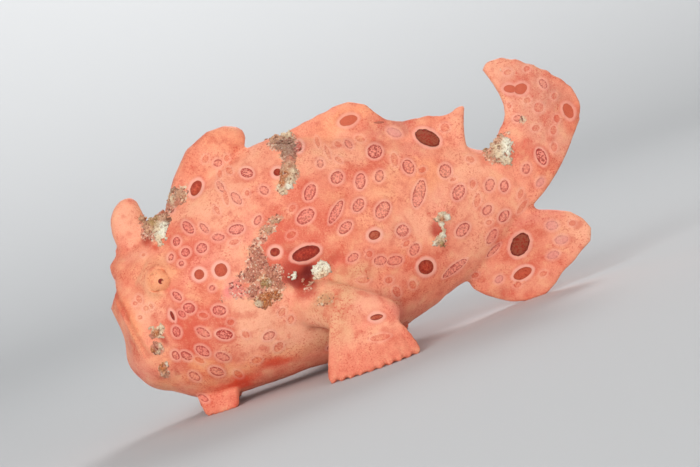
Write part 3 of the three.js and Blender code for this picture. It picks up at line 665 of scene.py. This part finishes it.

# Broad colour zones of the left side, from the level picture: place, half sizes, colour and strength. A few
# are painted shade, noted where they stand.
shades = {
    "base": tint(250, 158, 127),
    "pale": tint(255, 184, 150),
    "pink": tint(236, 158, 132),
    "orange": tint(252, 162, 108),
    "gold": tint(252, 178, 132),
    "lid": tint(255, 176, 132),
    "sand": tint(232, 176, 134),
    "moss": tint(190, 138, 92),
    "deepOrange": tint(236, 128, 92),
    "red": tint(222, 86, 62),
    "dark": tint(184, 60, 42),
    # The next two colours serve only as painted shade: the fold where the belly meets the floor, and the
    # hollow of the armpit.
    "flame": tint(232, 62, 28),
    "deep": tint(120, 24, 14),
    "rose": tint(242, 140, 122),
    "hot": tint(248, 138, 134),
    "mauve": tint(192, 112, 96),
}
zones = (
    (-11, 142, 26, 20, "lid", 0.9), (6, 126, 10, 12, "red", 0.5), (-36, 185, 26, 30, "pale", 0.4),
    (-18, 215, 20, 26, "pale", 0.6), (-34, 178, 12, 10, "rose", 0.5), (-38, 166, 18, 16, "deepOrange", 0.6),
    (-38, 140, 10, 14, "red", 0.35), (-54, 130, 10, 14, "deepOrange", 0.9),
    (-45, 104, 7, 26, "orange", 0.6), (-53, 90, 7, 14, "mauve", 0.3), (-58, 55, 14, 22, "rose", 0.4),
    # Painted shadow: the dark zone at -24 across, 83 up lies under a cheek crust.
    (-28, 115, 12, 22, "pale", 0.6), (-30, 68, 14, 8, "gold", 0.5), (-24, 83, 4, 7, "dark", 0.8),
    (-22, 48, 2.4, 6, "dark", 0.6), (0, 173, 3.4, 4, "red", 1.0), (6, 96, 26, 18, "red", 0.75),
    (-6, 104, 8, 14, "dark", 0.35), (-4, 70, 20, 20, "red", 0.5), (20, 82, 26, 22, "red", 0.7),
    (40, 75, 16, 20, "red", 0.4), (5, 42, 26, 18, "orange", 0.6), (-38, 40, 14, 12, "orange", 0.5),
    (28, 64, 22, 18, "red", 0.5), (40, 140, 24, 26, "rose", 0.6), (22, 170, 18, 18, "red", 0.6),
    (40, 158, 24, 14, "red", 0.3), (36, 112, 20, 12, "deepOrange", 0.6), (-4, 185, 6, 10, "dark", 0.9),
    (48, 192, 20, 12, "pale", 0.6), (85, 158, 26, 12, "rose", 0.5), (78, 188, 36, 22, "pale", 0.6),
    (96, 250, 30, 16, "orange", 0.3), (90, 222, 32, 20, "pale", 0.5), (60, 235, 14, 12, "deepOrange", 0.5),
    (118, 222, 16, 20, "pale", 0.6), (70, 146, 20, 10, "pale", 0.5), (66, 118, 12, 20, "pale", 0.5),
    (60, 98, 12, 12, "rose", 0.4), (60, 104, 10, 12, "hot", 0.8), (70, 66, 40, 28, "pale", 0.9),
    (95, 42, 34, 18, "pale", 0.8), (90, 30, 30, 8, "orange", 0.4), (40, 28, 24, 12, "orange", 0.5),
    # Painted shade: the two zones low on the belly at 32 and 76 across lie in the fold where the belly meets
    # the floor.
    (32, 17, 24, 8, "flame", 0.9), (76, 24, 20, 5, "flame", 0.8), (118, 128, 22, 20, "red", 0.7),
    # Painted shade in the hollow of the armpit: the dark and deep zones from 122 to 162 across and 84 to 106
    # up.
    (128, 106, 26, 18, "dark", 0.95), (122, 97, 10, 7, "deep", 0.6), (135, 99, 7, 10, "deep", 1.0),
    (162, 104, 12, 6, "dark", 0.8), (128, 84, 13, 10, "dark", 0.7), (150, 138, 34, 16, "red", 0.6),
    (125, 158, 16, 14, "red", 0.6), (165, 168, 26, 20, "red", 0.35), (150, 180, 14, 12, "red", 0.4),
    (180, 115, 34, 12, "deepOrange", 0.5), (168, 98, 14, 10, "red", 0.5), (190, 158, 18, 12, "red", 0.4),
    (216, 182, 24, 8, "red", 0.5), (232, 176, 16, 8, "red", 0.4), (196, 208, 34, 18, "pale", 0.6),
    (178, 190, 14, 16, "pale", 0.3), (240, 150, 26, 16, "gold", 0.4), (205, 128, 22, 12, "gold", 0.3),
    (185, 160, 12, 8, "gold", 0.3), (250, 112, 30, 14, "pale", 0.55), (298, 124, 34, 26, "pale", 0.5),
    (236, 84, 30, 16, "deepOrange", 0.6), (256, 66, 30, 14, "red", 0.35),
    (240, 44, 40, 12, "deepOrange", 0.5), (273, 98, 8, 10, "dark", 1.0), (283, 150, 16, 20, "orange", 0.4),
    (286, 110, 12, 26, "rose", 0.3), (330, 140, 26, 22, "pale", 0.6), (318, 168, 16, 12, "pale", 0.3),
    (276, 182, 14, 12, "rose", 0.4), (270, 210, 30, 12, "mauve", 0.7), (300, 202, 16, 8, "deepOrange", 0.4),
    (222, 228, 32, 14, "orange", 0.5), (245, 214, 18, 8, "red", 0.35), (325, 196, 12, 10, "pale", 0.4),
    (158, 60, 34, 22, "sand", 0.8), (178, 84, 26, 10, "sand", 0.8), (140, 36, 26, 16, "sand", 0.7),
    (140, 66, 13, 9, "moss", 0.6), (128, 46, 18, 14, "pale", 0.6), (186, 58, 20, 20, "pale", 0.7),
    (100, 88, 12, 8, "pale", 0.3), (185, 48, 24, 24, "rose", 0.35), (180, 20, 36, 10, "pale", 0.5),
    (206, 32, 7, 14, "rose", 0.6), (212, 46, 4, 10, "mauve", 0.4), (378, 142, 16, 12, "red", 0.6),
    (418, 198, 13, 14, "mauve", 0.5), (396, 110, 12, 26, "deepOrange", 0.5),
    (412, 158, 28, 30, "pink", 0.7), (400, 200, 36, 34, "pink", 0.8), (372, 200, 9, 34, "pale", 0.6),
    (378, 228, 14, 12, "pale", 0.5), (436, 160, 14, 24, "deepOrange", 0.6),
    (430, 186, 14, 16, "mauve", 0.4), (345, 158, 12, 12, "dark", 0.25), (340, 58, 28, 20, "red", 0.4),
    (352, 38, 24, 10, "red", 0.45), (406, 44, 20, 30, "pale", 0.8), (372, 74, 30, 8, "rose", 0.5),
    (330, 14, 44, 9, "pale", 0.6), (306, 16, 16, 7, "dark", 0.6), (322, 90, 26, 14, "pale", 0.4),
    (300, 66, 20, 12, "pale", 0.4),
)
# Painted shade: the belly is darkened to red towards the floor it rests on.
floorShade = {"low": 12.0, "share": 0.35}  # mm above the floor below which the belly reddens
# Thin speckled growth that lies on the skin: place, half sizes, colour and how thick it covers.
filmShades = {
    "cream": tint(240, 226, 190),
    "ash": tint(224, 162, 132),
    "mauve": tint(214, 138, 116),
    "pink": tint(244, 120, 116),
    "olive": tint(182, 148, 92),
    "amber": tint(216, 146, 70),
    "rust": tint(190, 110, 80),
    "dusk": tint(176, 134, 114),
}
films = (
    (122, 159, 9, 5, "ash", 0.9), (112, 151, 10, 6, "ash", 1.0), (100, 145, 10, 5, "mauve", 0.9),
    (92, 137, 10, 8, "ash", 1.0), (90, 127, 14, 9, "mauve", 1.0), (84, 116, 20, 9, "mauve", 1.0),
    (104, 112, 12, 9, "mauve", 0.9), (94, 104, 20, 12, "ash", 1.0), (93, 104, 9, 8, "olive", 0.4),
    (80, 96, 13, 10, "mauve", 1.0), (98, 93, 14, 8, "ash", 1.0), (84, 86, 12, 7, "amber", 0.9),
    (79, 87, 5, 5, "cream", 0.5), (97, 84, 8, 5, "olive", 0.7), (64, 104, 10, 14, "pink", 0.7),
    (34, 213, 16, 9, "ash", 0.9), (44, 216, 8, 10, "cream", 0.6), (26, 205, 8, 7, "mauve", 0.8),
    (8, 198, 20, 12, "ash", 0.9), (4, 186, 8, 10, "mauve", 0.8), (-6, 190, 6, 9, "mauve", 0.7),
    (153, 232, 17, 10, "dusk", 0.9), (156, 218, 13, 10, "dusk", 0.9), (150, 200, 12, 12, "ash", 0.8),
    (140, 188, 8, 8, "cream", 0.8), (143, 194, 6, 8, "amber", 0.5), (168, 222, 5, 8, "pink", 0.6),
    (129, 86, 7, 5, "mauve", 0.5), (140, 66, 12, 8, "olive", 0.5), (355, 152, 17, 15, "ash", 0.8),
    (389, 173, 7, 6, "cream", 0.6), (366, 164, 8, 3, "rust", 0.5), (281, 107, 9, 7, "cream", 0.7),
    (271, 86, 9, 8, "cream", 0.7), (382, 225, 4, 4, "cream", 0.4), (-27, 93, 8, 7, "cream", 0.8),
    (-33, 77, 7, 7, "mauve", 0.9), (-33, 54, 6, 9, "ash", 0.8), (47, 101, 8, 6, "cream", 0.3),
    (183, 252, 12, 4, "ash", 0.3),
)


# A drift that makes the zones' edges wander, from a coarse and a fine noise.
def drift(point, coarseSeed, fineSeed):
    return noiseAt(point, 7.0, coarseSeed) + 0.5 * noiseAt(point, 3.0, fineSeed)


def setZones():
    mesh = skinPiece.data
    points = pointsOf(mesh)
    wander = np.array([(drift(point, 3.0, 5.0), drift(point, 8.0, 9.0)) for point in points])
    level = levelPlaces(points)
    colour = np.tile(np.array(shades["base"]), (len(points), 1))
    for x, z, width, height, name, strength in zones:
        places = level + wander * min(16.0, 0.8 * min(width, height))
        reach = np.hypot((places[:, 0] - x) / width, (places[:, 1] - z) / height)
        share = strength * (1 - ramp(reach, 0.35, 1.45))
        colour = blended(colour, shades[name], share[:, None])
    # Painted shade under the belly, near the floor.
    low = floorShade["share"] * (1 - ramp(points[:, 2] / mm, 0.0, floorShade["low"]))
    colour = blended(colour, shades["red"], low[:, None])
    # Painted shade: the skin darkens along the mouth crease.
    creaseShade = mouthCrease["tint"] * np.exp(-(fromMouth(points) / mouthCrease["creaseShadeWidth"]) ** 2)
    colour = blended(colour, shades["dark"], creaseShade[:, None])
    addColours(mesh, "tone", colour)
    cover = np.zeros((len(points), 1))
    filmed = np.tile(np.array(filmShades["ash"]), (len(points), 1))
    places = level + wander * 4.0
    for x, z, width, height, name, strength in films:
        reach = np.hypot((places[:, 0] - x) / width, (places[:, 1] - z) / height)
        share = (strength * (1 - ramp(reach, 0.5, 1.2)))[:, None]
        filmed = blended(filmed, filmShades[name], share)
        cover = np.maximum(cover, share)
    addColours(mesh, "film", filmed, cover)


setZones()
print("zones set")

skinPaint = {
    "mottleSize": 3.4, "mottle": 0.5,  # sizes in mm, strengths as shares
    "freckleSize": 0.5, "freckle": 0.6,
    "grainSize": 0.30, "grain": 0.30,
    "patchSize": 5.5, "reliefSize": 1.3,
    "spotWobble": 0.11, "spotWobbleSize": 1.1,
    "haloWidth": 0.62, "haloSoftness": 0.4, "netSize": 0.44, "blush": 0.5,
    "halo": tint(255, 190, 170),
    "core": tint(208, 92, 62),
    "coreMiddle": tint(172, 42, 20),
    "coreDark": tint(88, 22, 6),
    "coreBrown": tint(206, 112, 78),
    "net": tint(248, 158, 144),
    "violet": tint(236, 166, 160),
    "line": tint(180, 46, 40),
    "fleck": tint(168, 36, 32),
    "red": tint(216, 76, 52),
    "cream": tint(255, 196, 152),
    "dot": tint(130, 52, 36),
    "filmCell": 0.48, "filmShift": 0.4,
    "filmDark": tint(112, 36, 30),
    "filmLight": tint(250, 238, 210),
    "roughness": 0.55,
    "gloss": 0.3,
    "relief": 0.30,  # mm
}


# The flesh with its mottling and freckles, fainter where the tone is dark.
def fleshColour(paint, place, tone, lit):
    look, mix, ease = skinPaint, paint.mix, paint.ease
    mottle = paint.noise(place, look["mottleSize"] * mm, 4.0, 0.55)
    fine = paint.noise(place, look["freckleSize"] * mm, 3.0, 0.6)
    patchy = paint.noise(place, look["patchSize"] * mm, 2.0, 0.5)
    grain = paint.noise(place, look["grainSize"] * mm, 3.0, 0.6)
    colour = mix(tone, look["cream"], ease(mottle, 0.50, 0.70) * lit * (look["mottle"] * 0.8))
    colour = mix(colour, look["red"], ease(mottle, 0.50, 0.30) * lit * look["mottle"])
    freckles = ease(fine, 0.52, 0.63) * ease(patchy, 0.42, 0.60)
    colour = mix(colour, look["red"], freckles * lit * look["freckle"])
    colour = mix(colour, look["red"], ease(grain, 0.50, 0.68) * lit * look["grain"])
    colour = mix(colour, look["cream"], ease(grain, 0.48, 0.30) * lit * look["grain"])
    height = grain * 0.45 + paint.noise(place, look["reliefSize"] * mm, 3.0, 0.55) * 0.55
    return colour, height, (fine, patchy, grain)


# The blot of a solid spot: darker with its shade, towards its rim and in patches, or netted with brown.
def solidColour(paint, tone, kind, shade, edge, fine, border):
    look, mix, ease = skinPaint, paint.mix, paint.ease
    depth = shade + (fine - 0.5) * 1.6
    colour = mix(look["core"], tone, ease(shade, 0.0, -0.5) * 0.45)
    colour = mix(colour, look["coreMiddle"], ease(depth, 0.0, 0.65))
    colour = mix(colour, look["coreDark"], ease(depth, 0.50, 1.20))
    rim = ease(edge, -1.5, -0.05) * ease(shade, -0.3, 0.6)
    colour = mix(colour, look["coreDark"], rim * 0.45)
    isBrown = paint.math("COMPARE", kind, 1.1, 0.05)
    brown = ease(fine + border * -0.12, 0.38, 0.54) * isBrown * (1.2 - 0.9 * shade)
    return mix(colour, look["coreBrown"], brown)


def paintSkin():
    paint = Paint("skin")
    look, mix, ease = skinPaint, paint.mix, paint.ease
    place = paint.place()
    tone = paint.attribute("tone", "Color")
    u, v, kind = paint.split(paint.attribute("spot"))
    length, width, shade = paint.split(paint.attribute("spotSize"))
    wobbleNoise = paint.noise(place, look["spotWobbleSize"] * mm, 2.0, 0.5, 1)
    wobble = paint.split(paint.vector("SUBTRACT", wobbleNoise, (0.5, 0.5, 0.5)))
    u = u + wobble[0] * (2 * look["spotWobble"])
    v = v + wobble[1] * (2 * look["spotWobble"])
    radius = (u * u + v * v) ** 0.5
    reach = ((u * length) ** 2.0 + (v * width) ** 2.0) ** 0.5
    edge = reach - reach / paint.math("MAXIMUM", radius, 0.05)
    isSolid = paint.math("COMPARE", kind, 1.0, 0.3)
    isNetted = paint.math("COMPARE", kind, 2.0, 0.3)
    isFaint = paint.math("COMPARE", kind, 3.0, 0.3)
    isViolet = paint.math("COMPARE", kind, 2.2, 0.1)
    isDot = paint.math("COMPARE", kind, 4.0, 0.3)

    lit = ease(paint.split(tone)[1], 0.02, 0.20)
    colour, height, (fine, patchy, grain) = fleshColour(paint, place, tone, lit)

    border = ease(edge, -0.55, -0.08)
    flecks = paint.noise(place, look["netSize"] * mm, 2.0, 0.55)
    mesh = ease(flecks + border * 0.06, 0.48, 0.56)
    inNet = mix(look["net"], tone, 0.35)
    inNet = mix(inNet, look["violet"], isViolet * 0.7)
    fleckShare = mesh * (0.22 + 0.56 * shade) * (1.0 - isViolet * 0.6)
    inNet = mix(inNet, look["fleck"], paint.math("MINIMUM", fleckShare, 0.9))
    inSolid = solidColour(paint, tone, kind, shade, edge, fine, border)

    outside = ease(edge, 0.0, 0.10)
    inside = 1.0 - outside
    blush = ease(edge, 1.8, 0.5) * outside * (isSolid + isNetted * shade) * ease(patchy, 0.30, 0.55)
    colour = mix(colour, look["red"], blush * look["blush"])
    softness = look["haloSoftness"]
    haloEdge = isSolid * 0.25 + look["haloWidth"]
    ring = ease(edge, haloEdge + softness, haloEdge - softness) * outside
    solidRing = 0.5 + 0.28 * ease(shade, -0.15, 0.1) - 0.2 * ease(shade, 0.2, 0.8)
    brightRing = isSolid * solidRing + isNetted * (0.30 + 0.26 * shade) + isFaint * 0.26
    colour = mix(colour, look["halo"], ring * paint.math("MINIMUM", brightRing, 1.0))
    colour = mix(colour, inNet, inside * isNetted * (0.50 + 0.30 * shade))
    lineShare = border * inside * isNetted * (0.10 + 0.20 * shade + 0.4 * mesh) * (1.0 - isViolet * 0.5)
    colour = mix(colour, look["line"], paint.math("MINIMUM", lineShare, 0.9))
    colour = mix(colour, inSolid, inside * isSolid)
    colour = mix(colour, look["red"], inside * isFaint * (0.12 + 0.35 * mesh))
    colour = mix(colour, look["dot"], inside * isDot * shade)

    # The film of growth covers the skin in crumbs, here denser and there thin.
    film = paint.attribute("film", "Color")
    cover = paint.attribute("film", "Alpha")
    shift = paint.vector("MULTIPLY", wobbleNoise, (look["filmShift"] * mm,) * 3)
    shifted = paint.vector("ADD", place, shift)
    chance = paint.split(paint.cells(shifted, look["filmCell"] * mm, "Color"))
    covered = ease(cover + (fine - 0.5) * 1.1 + (chance[2] - 0.5) * 0.35, 0.36, 0.62)
    crumbs = mix(film, look["filmDark"], ease(chance[0], 0.72, 0.84) * 0.8)
    crumbs = mix(crumbs, look["filmLight"], ease(chance[1], 0.68, 0.86) * 0.60)
    colour = mix(colour, crumbs, covered * 0.88)

    crumbHeight = ease(paint.cells(shifted, look["filmCell"] * mm, "Distance"), 0.7, 0.1) * covered
    height = height + ring * 0.22 - inside * isSolid * 0.30 + crumbHeight * 0.7
    normal = paint.bump(height, look["relief"] * mm, 0.8)
    rough = look["roughness"] + (grain - 0.5) * 0.35 + covered * 0.25
    return paint.finish(look["gloss"], baseColor=colour, roughness=rough, normal=normal)


skinPiece.data.materials.append(paintSkin())
print("skin painted")


# The eyes: balls that fill their sockets, coloured like the skin, with a small dark pupil.
def paintEye():
    paint = Paint("eye")
    look = eyeShape
    u, v = paint.split(paint.attribute("eyePlace"))[:2]
    radius = (u * u + v * v) ** 0.5
    angle = paint.math("ARCTAN2", v, u)
    colour, height, _ = fleshColour(paint, paint.place(), look["skin"], 1.0)
    rays = paint.noise(paint.join(angle * 2.2, radius * 2.2, 0.0), 1.0, 2.0, 0.5)
    dashes = paint.ease(rays, 0.60, 0.68) * paint.ease(radius, 0.36, 0.5) * paint.ease(radius, 0.92, 0.7)
    colour = paint.mix(colour, look["dash"], dashes * 0.55)
    pupil = paint.ease(radius, look["pupil"] + 0.025, look["pupil"] - 0.015)
    notch = paint.ease(((u + 0.11) ** 2.0 + (v - 0.10) ** 2.0) ** 0.5, 0.13, 0.09)
    colour = paint.mix(colour, look["pupilColour"], pupil * (1.0 - notch * 0.9))
    normal = paint.bump(height, skinPaint["relief"] * mm, 0.8)
    return paint.finish(look["gloss"], baseColor=colour, roughness=look["roughness"], normal=normal)


def addEye(flankName, flank):
    node = "eye_" + flankName
    centre, gaze = eyeFrame(node)
    work = bmesh.new()
    bmesh.ops.create_icosphere(work, subdivisions=5, radius=eyeShape["radius"] * mm)
    ball = newPiece("eye" + flankName.title(), work, "eye")
    back = gaze.cross(Vector((0, 0, 1))).normalized() * -flank
    above = back.cross(gaze) * flank
    points = pointsOf(ball.data)
    away = points / (eyeShape["radius"] * mm)
    facing = away @ np.array(gaze)
    u, v = away @ np.array(back), away @ np.array(above)
    behind = np.where(facing < 0, 3.0, 1.0)  # keeps the pupil off the hidden half
    addVectors(ball.data, "eyePlace", np.stack([u * behind, v * behind, facing], 1), "POINT")
    movePoints(ball.data, points + np.array(centre))
    shadeSmooth(ball.data)
    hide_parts(node)
    return ball


eyePaint = paintEye()
for flankName, flank in side.items():
    addEye(flankName, flank).data.materials.append(eyePaint)
print("eyes placed")


# Crusts of small growth on the left side or the far one: place, half sizes, thickness in mm and colour of
# each lump.
shell, cream, ash, mauve = tint(255, 252, 230), tint(240, 216, 182), tint(218, 166, 134), tint(214, 138, 114)
rust, olive, umber, dusk = tint(208, 126, 76), tint(186, 150, 100), tint(128, 78, 54), tint(176, 136, 116)
crimson = tint(134, 46, 38)
crusts = {
    "pit": (
        (-1, 204, 6, 5, 0.9, ash), (8, 206, 7, 4, 1.0, umber), (17, 203, 6, 6, 1.2, mauve),
        (6, 198, 8, 6, 1.0, olive), (16, 197, 6, 7, 1.1, ash), (0, 193, 6, 7, 0.7, ash),
        (8, 189, 6, 7, 1.0, cream), (14, 190, 5, 7, 1.0, shell), (6, 181, 5, 6, 0.9, cream),
        (11, 183, 4, 7, 0.9, shell), (6, 175, 3, 4, 0.7, cream), (20, 194, 4, 6, 0.8, umber),
    ),
    "spineFront": (
        (26, 207, 5, 5, 0.7, mauve), (31, 213, 5, 6, 0.8, cream), (36, 219, 5, 5, 0.7, dusk),
        (41, 215, 6, 6, 0.4, ash), (36, 208, 6, 4, 0.4, mauve),
    ),
    "scab": (
        (140, 239, 6, 3, 0.8, dusk), (150, 237, 8, 5, 1.1, ash), (160, 236, 7, 5, 1.2, cream),
        (152, 229, 7, 6, 0.8, dusk), (161, 227, 6, 6, 0.8, dusk), (156, 220, 7, 6, 0.7, dusk),
        (157, 212, 6, 6, 0.9, mauve), (152, 205, 7, 6, 1.0, ash), (146, 198, 5, 6, 0.9, rust),
        (154, 199, 5, 5, 1.0, cream), (148, 192, 6, 5, 0.9, cream), (141, 191, 4, 6, 0.8, rust),
        (139, 184, 5, 4, 0.7, cream), (146, 187, 5, 4, 0.7, shell),
    ),
    "shoulder": (
        (122, 158, 5, 3, 0.3, ash), (112, 152, 6, 3, 0.3, ash), (93, 136, 5, 5, 0.3, mauve),
        (92, 125, 8, 7, 0.4, mauve), (82, 115, 7, 6, 0.3, mauve), (99, 111, 6, 6, 0.4, mauve),
        (92, 102, 6, 4, 0.3, olive), (78, 100, 5, 6, 0.3, mauve), (104, 99, 4, 6, 0.4, mauve),
        (87, 89, 8, 5, 0.5, rust), (98, 89, 4, 5, 0.3, rust), (79, 86, 5, 4, 0.6, cream),
        (85, 82, 6, 3, 0.5, rust),
    ),
    "armpit": (
        (145, 98, 6, 6, 1.6, shell), (153, 98, 6, 6, 1.5, shell), (149, 93, 7, 4, 1.3, cream),
        (149, 100, 7, 5, 2.0, shell), (142, 93, 4, 4, 1.0, cream), (120, 101, 5, 4, 1.0, shell),
        (133, 88, 5, 1.5, 0.5, ash), (128, 92, 1.5, 4, 0.4, mauve),
    ),
    "worm": (
        (285, 106, 3, 5, 0.7, shell), (280, 110, 5, 2, 0.6, cream), (280, 105, 4, 3, 0.4, rust),
        (275, 105, 2.4, 3, 0.6, cream), (278, 100, 3, 3, 0.6, shell), (277, 95, 2, 4, 0.6, cream),
        (275, 90, 3, 3.4, 0.7, shell), (268, 87, 5, 3, 0.7, cream), (270, 82, 5, 4, 0.7, olive),
        (264, 84, 2.4, 3, 0.5, shell),
    ),
    "tailNotch": (
        (350, 160, 6, 5, 1.0, olive), (359, 161, 7, 6, 1.2, ash), (347, 151, 5, 5, 0.9, ash),
        (356, 153, 7, 6, 1.4, cream), (365, 155, 6, 7, 1.2, shell), (354, 145, 6, 5, 1.1, cream),
        (362, 146, 6, 6, 1.2, shell), (360, 138, 6, 4, 0.9, cream), (344, 157, 4, 4, 0.7, olive),
    ),
    "cheek": (
        (-28, 92, 5, 4, 0.7, rust), (-21, 95, 2.4, 5, 0.6, cream), (-25, 87, 4, 2, 0.5, cream),
        (-29, 98, 5, 2, 0.5, cream), (-33, 90, 2, 4, 0.5, mauve), (-33, 79, 5, 5, 0.7, mauve),
        (-31, 73, 4, 2, 0.6, cream), (-37, 77, 2, 4, 0.5, rust), (-28, 78, 2, 4, 0.5, cream),
        (-32, 58, 5, 4, 0.6, rust), (-35, 51, 4, 4, 0.6, ash), (-28, 59, 2.4, 2, 0.5, shell),
    ),
    "farBack": (
        (150, 226, 8, 7, 1.1, ash), (148, 212, 7, 7, 1.0, mauve), (142, 200, 6, 6, 0.9, cream),
        (8, 200, 8, 6, 1.0, cream), (14, 190, 6, 6, 0.8, ash),
    ),
    "farFlank": (
        (58, 144, 9, 8, 0.6, mauve), (66, 136, 9, 8, 0.6, ash), (74, 130, 7, 7, 0.5, olive),
        (176, 160, 8, 7, 0.7, mauve), (184, 152, 8, 7, 0.6, ash), (232, 96, 7, 6, 0.7, cream),
        (-22, 92, 5, 5, 0.6, cream),
    ),
}
crustShape = {
    "grain": (0.22, 0.48),  # mm, radii of the grains
    "perArea": 7.0,  # grains on a square millimetre
    "sunk": 0.12,  # mm
    "cell": 0.19,  # mm
    "rough": 0.16,  # mm
    "roughSizes": (0.7, 0.4),  # mm
    "stray": 0.12,  # share of the grains that may lie past the lump's edge
    "strayReach": 1.3,
    "rootShade": 0.35,
    "rootHeight": 0.6,  # mm
    "roughness": 0.8,
    "gloss": 0.2,
}


def growCrust(name, flank, lumps):
    chance = random.Random(len(name) * 31 + len(lumps))
    work = bmesh.new()
    middles = []
    for x, z, width, height, thick, colour in lumps:
        middle = onSkin(skinTree, x, z, flank)[0]
        if middle is None:
            middle = skinTree.find_nearest(mirrored(planePoint(x, z), flank))[0]
        middles.append((*middle, max(width, height) * levelUnit, *colour))
        area = math.pi * width * height * (levelUnit / mm) ** 2
        for _ in range(max(6, int(area * crustShape["perArea"]))):
            turn, reach = chance.uniform(0, 2 * math.pi), math.sqrt(chance.random())
            if chance.random() < crustShape["stray"]:
                reach *= crustShape["strayReach"]
            right, up = width * reach * math.cos(turn), height * reach * math.sin(turn)
            hit, normal = onSkin(skinTree, x + right, z + up, flank)[:2]
            if hit is None or (hit - middle).length > 1.6 * max(width, height) * levelUnit + 1 * mm:
                hit, normal = skinTree.find_nearest(middle + levelRight * right * levelUnit * 0.5)[:2]
            size = chance.uniform(*crustShape["grain"]) * mm
            lift = thick * mm * max(0.0, 1 - reach * reach) * chance.uniform(0.2, 0.8)
            place = Matrix.Translation(hit + normal * (lift - crustShape["sunk"] * mm))
            spin = Matrix.Rotation(chance.uniform(0, math.pi), 4, "Z")
            form = place @ normal.to_track_quat("Z", "X").to_matrix().to_4x4() @ spin
            form = form @ Matrix.Diagonal((1.0, 0.8, 0.8, 1.0))
            bmesh.ops.create_icosphere(work, subdivisions=1, radius=size, matrix=form)
    piece = newPiece("crust" + name[0].upper() + name[1:], work, "skin")
    remeshed(piece, crustShape["cell"])
    points, normals = pointsOf(piece.data), normalsOf(piece.data)
    coarse, fine = crustShape["roughSizes"]
    bumps = [noiseAt(point, coarse, 2.0) + 0.6 * noiseAt(point, fine, 6.0) for point in points]
    points = points + normals * (np.array(bumps) * crustShape["rough"] * mm)[:, None]
    points[:, 2] = np.maximum(points[:, 2], 0.0)
    movePoints(piece.data, points)
    table = np.array(middles)
    away = np.linalg.norm(points[:, None, :] - table[None, :, :3], axis=2) / table[None, :, 3]
    weights = 1 / (away ** 4 + 0.02)
    colour = weights @ table[:, 4:] / weights.sum(1, keepdims=True)
    # Painted shade: the grains darken to umber towards the skin they sit on.
    low = 1 - ramp(farFrom(skinTree, points, 3 * mm) / mm, 0.0, crustShape["rootHeight"])
    colour = blended(colour, umber, crustShape["rootShade"] * low[:, None])
    addColours(piece.data, "tone", colour)
    shadeSmooth(piece.data)
    return piece


def paintCrust():
    paint = Paint("crust")
    place = paint.place()
    tone = paint.attribute("tone", "Color")
    fine = paint.noise(place, 0.35 * mm, 3.0, 0.65)
    spots = paint.noise(place, 0.8 * mm, 2.0, 0.6)
    colour = paint.mix(tone, umber, paint.ease(fine, 0.54, 0.70) * 0.40)
    colour = paint.mix(colour, shell, paint.ease(fine, 0.46, 0.32) * 0.45)
    colour = paint.mix(colour, crimson, paint.ease(spots, 0.56, 0.66) * 0.55)
    colour = paint.mix(colour, olive, paint.ease(spots, 0.42, 0.32) * 0.30)
    normal = paint.bump(fine, 0.25 * mm, 1.0)
    rough = crustShape["roughness"]
    return paint.finish(crustShape["gloss"], baseColor=colour, roughness=rough, normal=normal)


crustPaint = paintCrust()
for name, lumps in crusts.items():
    flank = side["right" if name.startswith("far") else "left"]
    growCrust(name, flank, lumps).data.materials.append(crustPaint)
print("crusts grown")


# The floor runs up into a wall far behind the fish, in one pale sweep.
stageShape = {"front": -2.5, "bend": 0.5, "radius": 1.6, "height": 3.0, "halfWidth": 4.0, "steps": 24}  # m


def addStage():
    work = bmesh.new()
    profile = [(stageShape["front"], 0.0)]
    for step in range(stageShape["steps"] + 1):
        angle = step / stageShape["steps"] * math.pi / 2
        forward = stageShape["bend"] + math.sin(angle) * stageShape["radius"]
        profile.append((forward, (1 - math.cos(angle)) * stageShape["radius"]))
    profile.append((stageShape["bend"] + stageShape["radius"], stageShape["height"]))
    half = stageShape["halfWidth"]
    rows = [[work.verts.new((x, y, z)) for y, z in profile] for x in (-half, half)]
    for index in range(len(profile) - 1):
        work.faces.new((rows[0][index], rows[1][index], rows[1][index + 1], rows[0][index + 1]))
    floor = newPiece("floor", work)
    shadeSmooth(floor.data)
    floor.data.materials.append(Paint("floor").finish(0.5, baseColor=(0.56, 0.57, 0.58), roughness=0.9))


def addLight(name, place, size, power, colour=(1.0, 1.0, 1.0), aim=(0.0, 0.0, 0.03), spread=180):
    data = bpy.data.lights.new(name, "AREA")
    data.size = size
    data.energy = power
    data.color = colour
    data.spread = math.radians(spread)
    lamp = bpy.data.objects.new(name, data)
    lamp.location = place
    lamp.rotation_euler = (Vector(aim) - Vector(place)).to_track_quat("-Z", "Y").to_euler()
    bpy.context.scene.collection.objects.link(lamp)


addStage()
addLight("key", (-0.5, -0.8, 0.6), 0.5, 3.8, (1.0, 0.995, 0.985))
addLight("fill", (0.6, -0.8, 0.25), 0.8, 1.7, (1.0, 0.96, 0.93))
addLight("low", (-0.1, -0.8, 0.08), 0.4, 0.4, (1.0, 0.95, 0.92), spread=70)
addLight("rim", (0.3, 0.7, 0.6), 0.4, 0.4, spread=50)
addLight("wall", (0.0, 0.9, 1.8), 1.6, 16.0, aim=(0.0, 2.2, 0.2), spread=110)
room = {"grey": 0.9, "strength": 0.52}
world = bpy.data.worlds.new("room")
world.use_nodes = True
background = world.node_tree.nodes["Background"]
background.inputs["Color"].default_value = (*(room["grey"],) * 3, 1.0)
background.inputs["Strength"].default_value = room["strength"]
bpy.context.scene.world = world
bpy.context.scene.view_settings.view_transform = "Standard"
print("stage and lights placed")
